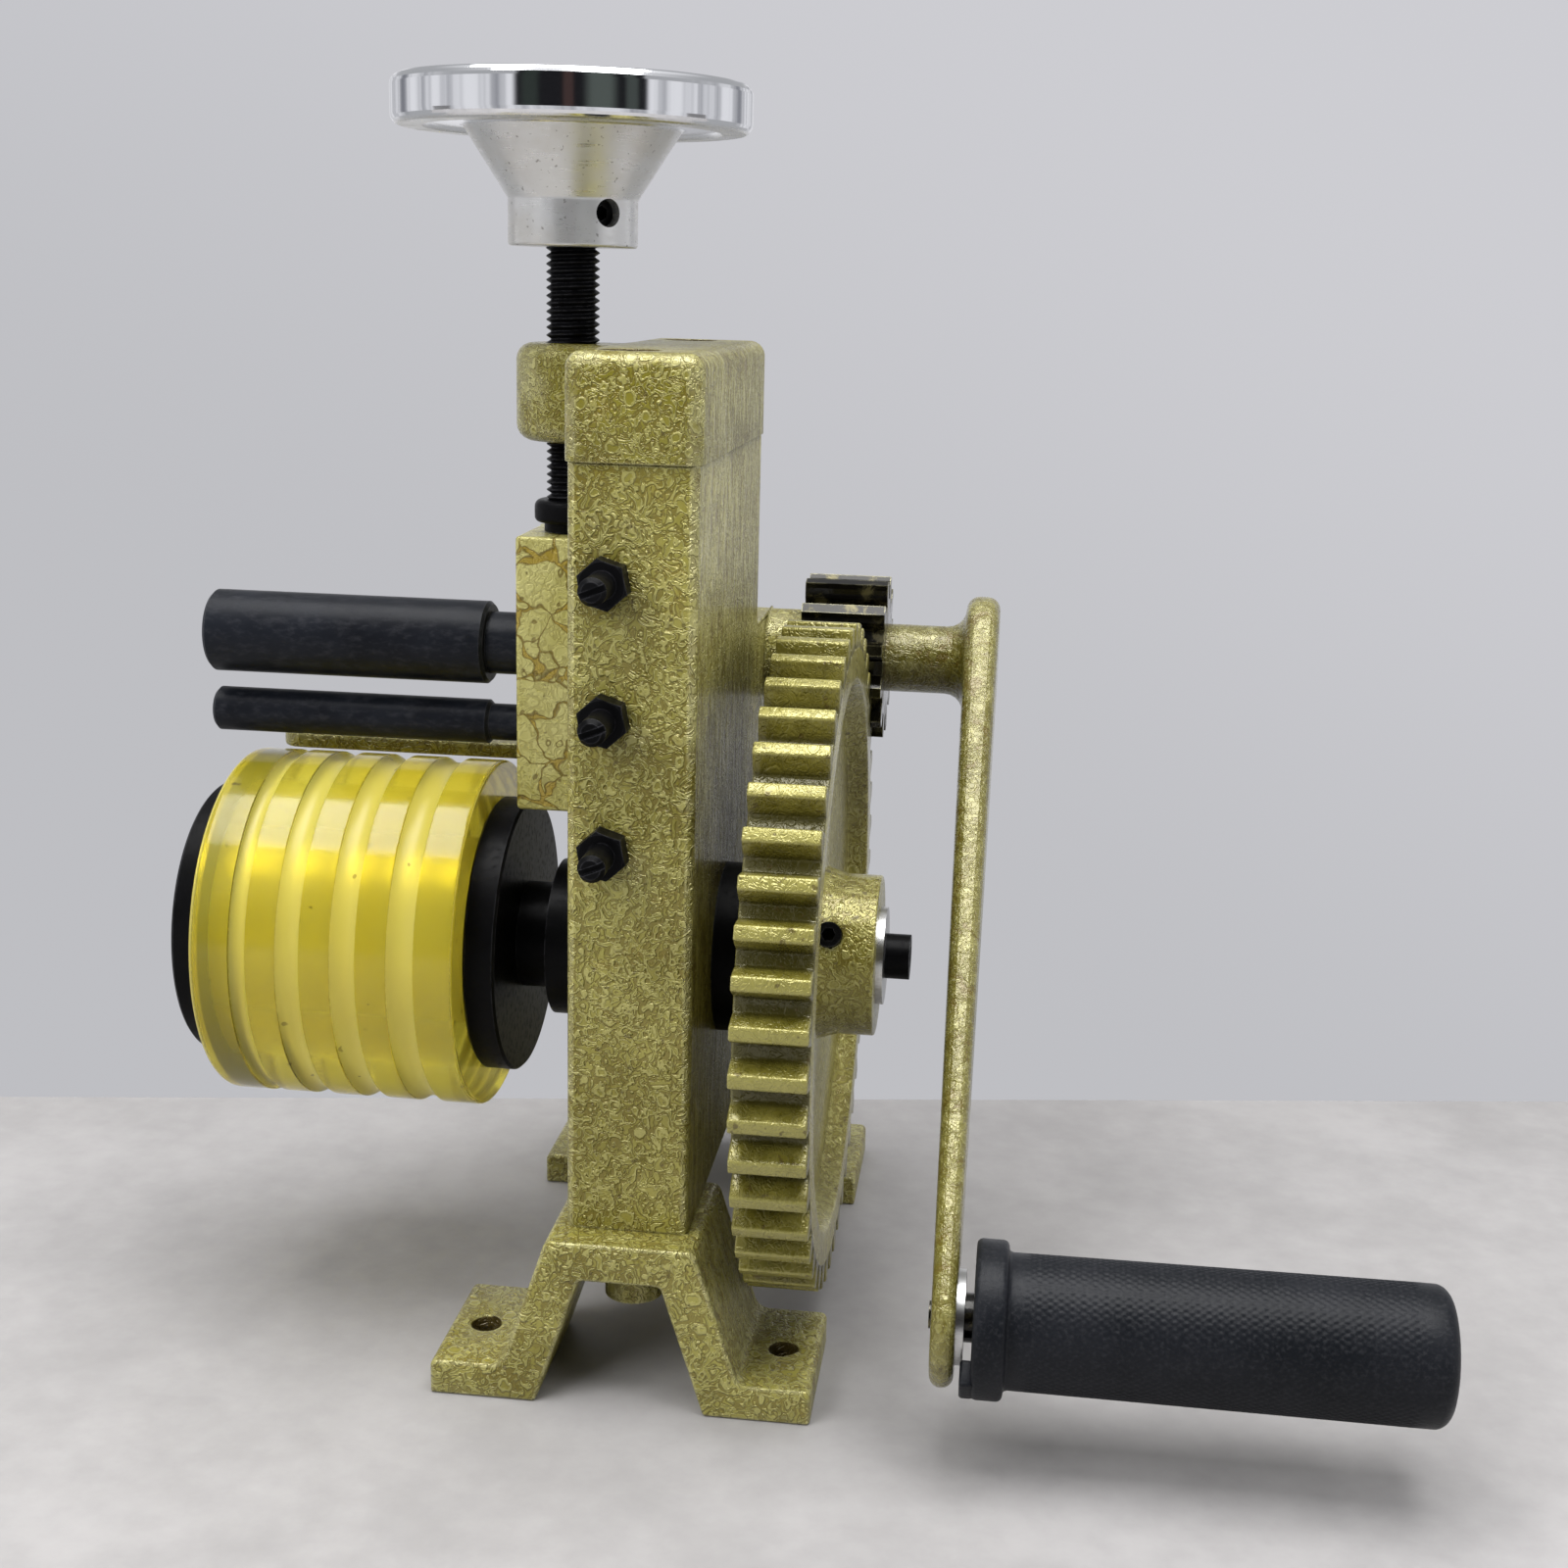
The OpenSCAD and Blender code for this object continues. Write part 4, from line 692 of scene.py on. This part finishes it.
def make_lead_screw():
    """The lead screw: a plain neck in the slide, a thread, and a plain end in the handwheel."""
    bottom, neck_top = 232.2, 263.99
    thread_top, top = 341.0, 380.8
    neck_r, shoulder_r, chamfer = 6.5, 7.4, 0.8
    depth, step = 1.35, SCREW_PITCH / 8
    around = 48
    rows = [(bottom, neck_r, False), (neck_top, neck_r, False)]
    rows.append((neck_top + 0.01, shoulder_r, False))
    z = neck_top + 0.6
    while z < thread_top:
        rows.append((z, SCREW_R, True))
        z += step
    rows += [(thread_top + 0.3, SCREW_R, False), (top - chamfer, SCREW_R, False)]
    rows.append((top, SCREW_R - chamfer, False))

    def radius(i, angle):
        z, r, threaded = rows[i]
        if not threaded:
            return r
        return r - depth * (1 - thread_rise(z / SCREW_PITCH - angle / (2 * math.pi)))

    def place(z, r, angle):
        x, y = SCREW_X + r * math.cos(angle), AXIS_Y + r * math.sin(angle)
        return (x * MM, y * MM, z * MM)

    name = "lead_screw_thread"
    mesh = turned_skin(name, [row[0] for row in rows], around, radius, place, closed=False)
    new_piece(name, shaded(mesh, 50), BLACK_OXIDE, "screw", "lead_screw")


def add_tab(mesh, left):
    """A rounded tab on the grip's flange, which points away from the crank's hub."""
    thick, wide, tall = 4.0, 11.0, 7.6
    inset, below, rounded = 1.0, 18.2, 0.9
    c, s = math.cos(-CRANK_REST), math.sin(-CRANK_REST)
    bm = bmesh.new()
    bm.from_mesh(mesh)
    tab = bmesh.ops.create_cube(bm, size=1.0)["verts"]
    for v in tab:
        x, y, z = left - inset + v.co.x * thick, v.co.y * wide, v.co.z * tall - below
        v.co = Vector((x, GRIP_Y + y * c - z * s, GRIP_Z + y * s + z * c)) * MM
    sides = list(dict.fromkeys(e for v in tab for e in v.link_edges))
    bmesh.ops.bevel(bm, geom=sides, offset=rounded * MM, segments=3, profile=0.5,
                    affect="EDGES", clamp_overlap=True)
    bm.to_mesh(mesh)
    bm.free()


def make_grip():
    """The rubber grip: a flange with a tab, and a sleeve hatched in diamonds."""
    low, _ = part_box("grip_sleeve")
    tab_reach, flange, length = 3.0, 9.3, 123.0
    left = low[0] / MM + tab_reach
    shoulder = left + flange
    end = shoulder + length
    bore, cavity, pip = 11.02, end - 8.0, 0.4
    flange_r, sleeve_r, swell, corner = 22.5, 19.2, 0.6, 4.6
    rows = [(left, bore), (left, 20.9), (left + 0.25, 21.7), (left + 0.9, 22.25)]
    rows += [(left + 1.7, flange_r), (shoulder - 1.7, flange_r)]
    rows += [(shoulder - 0.9, 22.25), (shoulder - 0.3, 21.7), (shoulder, 20.9)]
    rows += [(shoulder, 20.2), (shoulder + 0.4, 19.5), (shoulder + 1.2, sleeve_r)]
    hatch_from, hatch_to, step = shoulder + 4.0, end - 8.0, 0.62
    steps = int((hatch_to - hatch_from) / step)
    for i in range(steps + 1):
        x = hatch_from + (hatch_to - hatch_from) * i / steps
        rows.append((x, sleeve_r + swell * (x - shoulder) / length))
    for i in range(1, 9):
        bend = math.radians(90 * i / 8)
        r = sleeve_r + swell - corner + corner * math.cos(bend)
        rows.append((end - corner + corner * math.sin(bend), r))
    rows += [(end, 6.0), (end, pip), (cavity, pip), (cavity, bore)]
    diamonds, diamond_length, around = 58, 3.1, 290
    depth, ridge, fade_length = 0.24, 0.62, 3.0

    def radius(i, angle):
        x, r = rows[i]
        if not hatch_from <= x <= hatch_to:
            return r
        fade = min(1.0, (x - hatch_from) / fade_length, (hatch_to - x) / fade_length)
        u = angle / (2 * math.pi) * diamonds
        v = (x - hatch_from) / diamond_length
        lines = max(abs(2 * ((u + v) % 1.0) - 1), abs(2 * ((u - v) % 1.0) - 1))
        return r - depth * fade * max(0.0, (lines - ridge) / (1 - ridge))

    def place(x, r, angle):
        y, z = GRIP_Y + r * math.cos(angle), GRIP_Z + r * math.sin(angle)
        return (x * MM, y * MM, z * MM)

    name = "grip_rubber_sleeve"
    mesh = turned_skin(name, [row[0] for row in rows], around, radius, place, closed=True)
    add_tab(mesh, left)
    new_piece(name, shaded(mesh, 55), RUBBER, "grip", "grip_sleeve")


def finish_nodes():
    """The material of each CAD node."""
    finishes = {
        BLACK_OXIDE: "cap_screws gib_screws gib_nuts left_bush right_bush strip_rest_screws "
                     "thrust_collar wheel_set_screw roller_shaft inner_disc outer_disc "
                     "roller_bolt gear_set_screw gear_bolt shaft_collar_ring "
                     "shaft_collar_screw crank_set_screw lead_screw",
        MANDREL_BLACK: "large_mandrel small_mandrel",
        BRIGHT_STEEL: "keeper_pins large_mandrel_clip small_mandrel_clip roller_core "
                      "roller_washer gear_key gear_washer pinion_shaft pinion_key "
                      "grip_washer grip_clip grip_tube",
        BRONZE: "gib_strip pinion_bush",
        OILY_STEEL: "pinion grip_pin",
        CHROME: "handwheel",
        URETHANE: "roller_tyre",
        RUBBER: "grip_sleeve",
        ENAMEL: "front_foot rear_foot foot_screws foot_washers column strip_rest",
        CAP_ENAMEL: "top_cap",
        SLIDE_ENAMEL: "slide_block",
        GEAR_ENAMEL: "drive_gear",
        CRANK_ENAMEL: "crank_arm",
    }
    for material, names in finishes.items():
        for name in names.split():
            node = nodes[name]
            node.data.materials.clear()
            node.data.materials.append(material)


def make_floor():
    """A pale, clouded floor that ends where the wall begins in the photo."""
    material, t, shader = new_material("pale_floor", Roughness=0.55, Specular_IOR_Level=0.25)
    place = t.place()
    cloud = t.noise(place, 9.0, 7.0, 0.70)
    grain = t.noise(place, 90.0, 3.0)
    tone = t.plus(t.times(cloud, 0.8), t.times(grain, 0.2))
    t.put(shader["Base Color"], t.mix(t.step(tone, 0.3, 0.7), FLOOR_DARK, FLOOR_PALE))
    far_left, far_right = Vector((-2.98, -0.3848, 0)), Vector((3.02, 0.6748, 0))
    near = Vector((0.10, -0.62, 0))
    mesh = bpy.data.meshes.new("floor")
    corners = [far_left, far_left + near, far_right + near, far_right]
    mesh.from_pydata(corners, [], [(0, 1, 2, 3)])
    mesh.materials.append(material)
    floor = bpy.data.objects.new("floor", mesh)
    scene.collection.objects.link(floor)


def make_world():
    """A pale wall for the camera. Other rays meet a room with streaks and a dark front."""
    world = bpy.data.worlds.new("studio")
    scene.world = world
    world.use_nodes = True
    t = Tree(world.node_tree)
    x, y, z = t.split(t.add("ShaderNodeTexCoord").outputs["Generated"])
    slope = t.plus(t.times(z, 0.22), t.times(x, 0.115))
    wall = t.mix(t.step(slope, -0.083, 0.037), WALL_LOW, WALL_HIGH)
    turn = t.math("ARCTAN2", x, t.times(y, -1.0))
    room = t.mix(t.step(z, 0.60, 0.90), ROOM_GREY, CEILING_GREY)
    level = t.step(t.absolute(z), 0.34, 0.20)
    streak = t.noise(t.add("ShaderNodeCombineXYZ", {0: turn}).outputs[0], 2.6, 4.0, 0.62)
    streaks = t.mix(t.step(streak, 0.36, 0.56), STREAK_DARK, STREAK_PALE)
    room = t.mix(level, room, streaks)
    sides = t.times(t.step(turn, -0.45, -0.37), t.step(turn, 1.06, 1.00))
    ends = t.times(t.step(z, 0.88, 0.70), t.step(z, -0.06, 0.0))
    front = FRONT_DARK
    for middle, half, shade in FRONT_BANDS:
        front = t.mix(t.band(turn, middle, half), front, shade)
    room = t.mix(t.times(sides, ends), room, front)
    seen = t.add("ShaderNodeLightPath").outputs["Is Camera Ray"]
    glow = t.add("ShaderNodeBackground", {"Color": t.mix(seen, room, wall), "Strength": 1.0})
    t.put(t.add("ShaderNodeOutputWorld").inputs["Surface"], glow.outputs[0])


def softbox(name, at, target, size, power, mirrored):
    """A soft lamp. One that isn't mirrored lights the part but shows in no gloss or clear piece."""
    data = bpy.data.lights.new(name, "AREA")
    data.shape = "RECTANGLE"
    data.size, data.size_y = size
    data.energy = power
    lamp = bpy.data.objects.new(name, data)
    lamp.location = at
    lamp.rotation_euler = (Vector(target) - Vector(at)).to_track_quat("-Z", "Y").to_euler()
    lamp.visible_glossy = mirrored
    lamp.visible_transmission = mirrored
    scene.collection.objects.link(lamp)


def make_softboxes():
    """Soft light from above, from the front left and from the right."""
    softbox("top_softbox", at=(0.0, -0.15, 1.25), target=(0.0, -0.02, 0.1),
            size=(1.2, 0.8), power=21.0, mirrored=True)
    softbox("front_softbox", at=(-0.85, -1.05, 1.05), target=(0.0, 0.0, 0.18),
            size=(1.0, 1.0), power=18.0, mirrored=False)
    softbox("right_softbox", at=(1.15, -0.45, 0.60), target=(0.05, 0.0, 0.2),
            size=(0.6, 0.9), power=5.0, mirrored=False)


make_camera()
finish_nodes()
make_castings()
make_lead_screw()
make_grip()
make_floor()
make_world()
make_softboxes()
scene.view_settings.view_transform = "Standard"
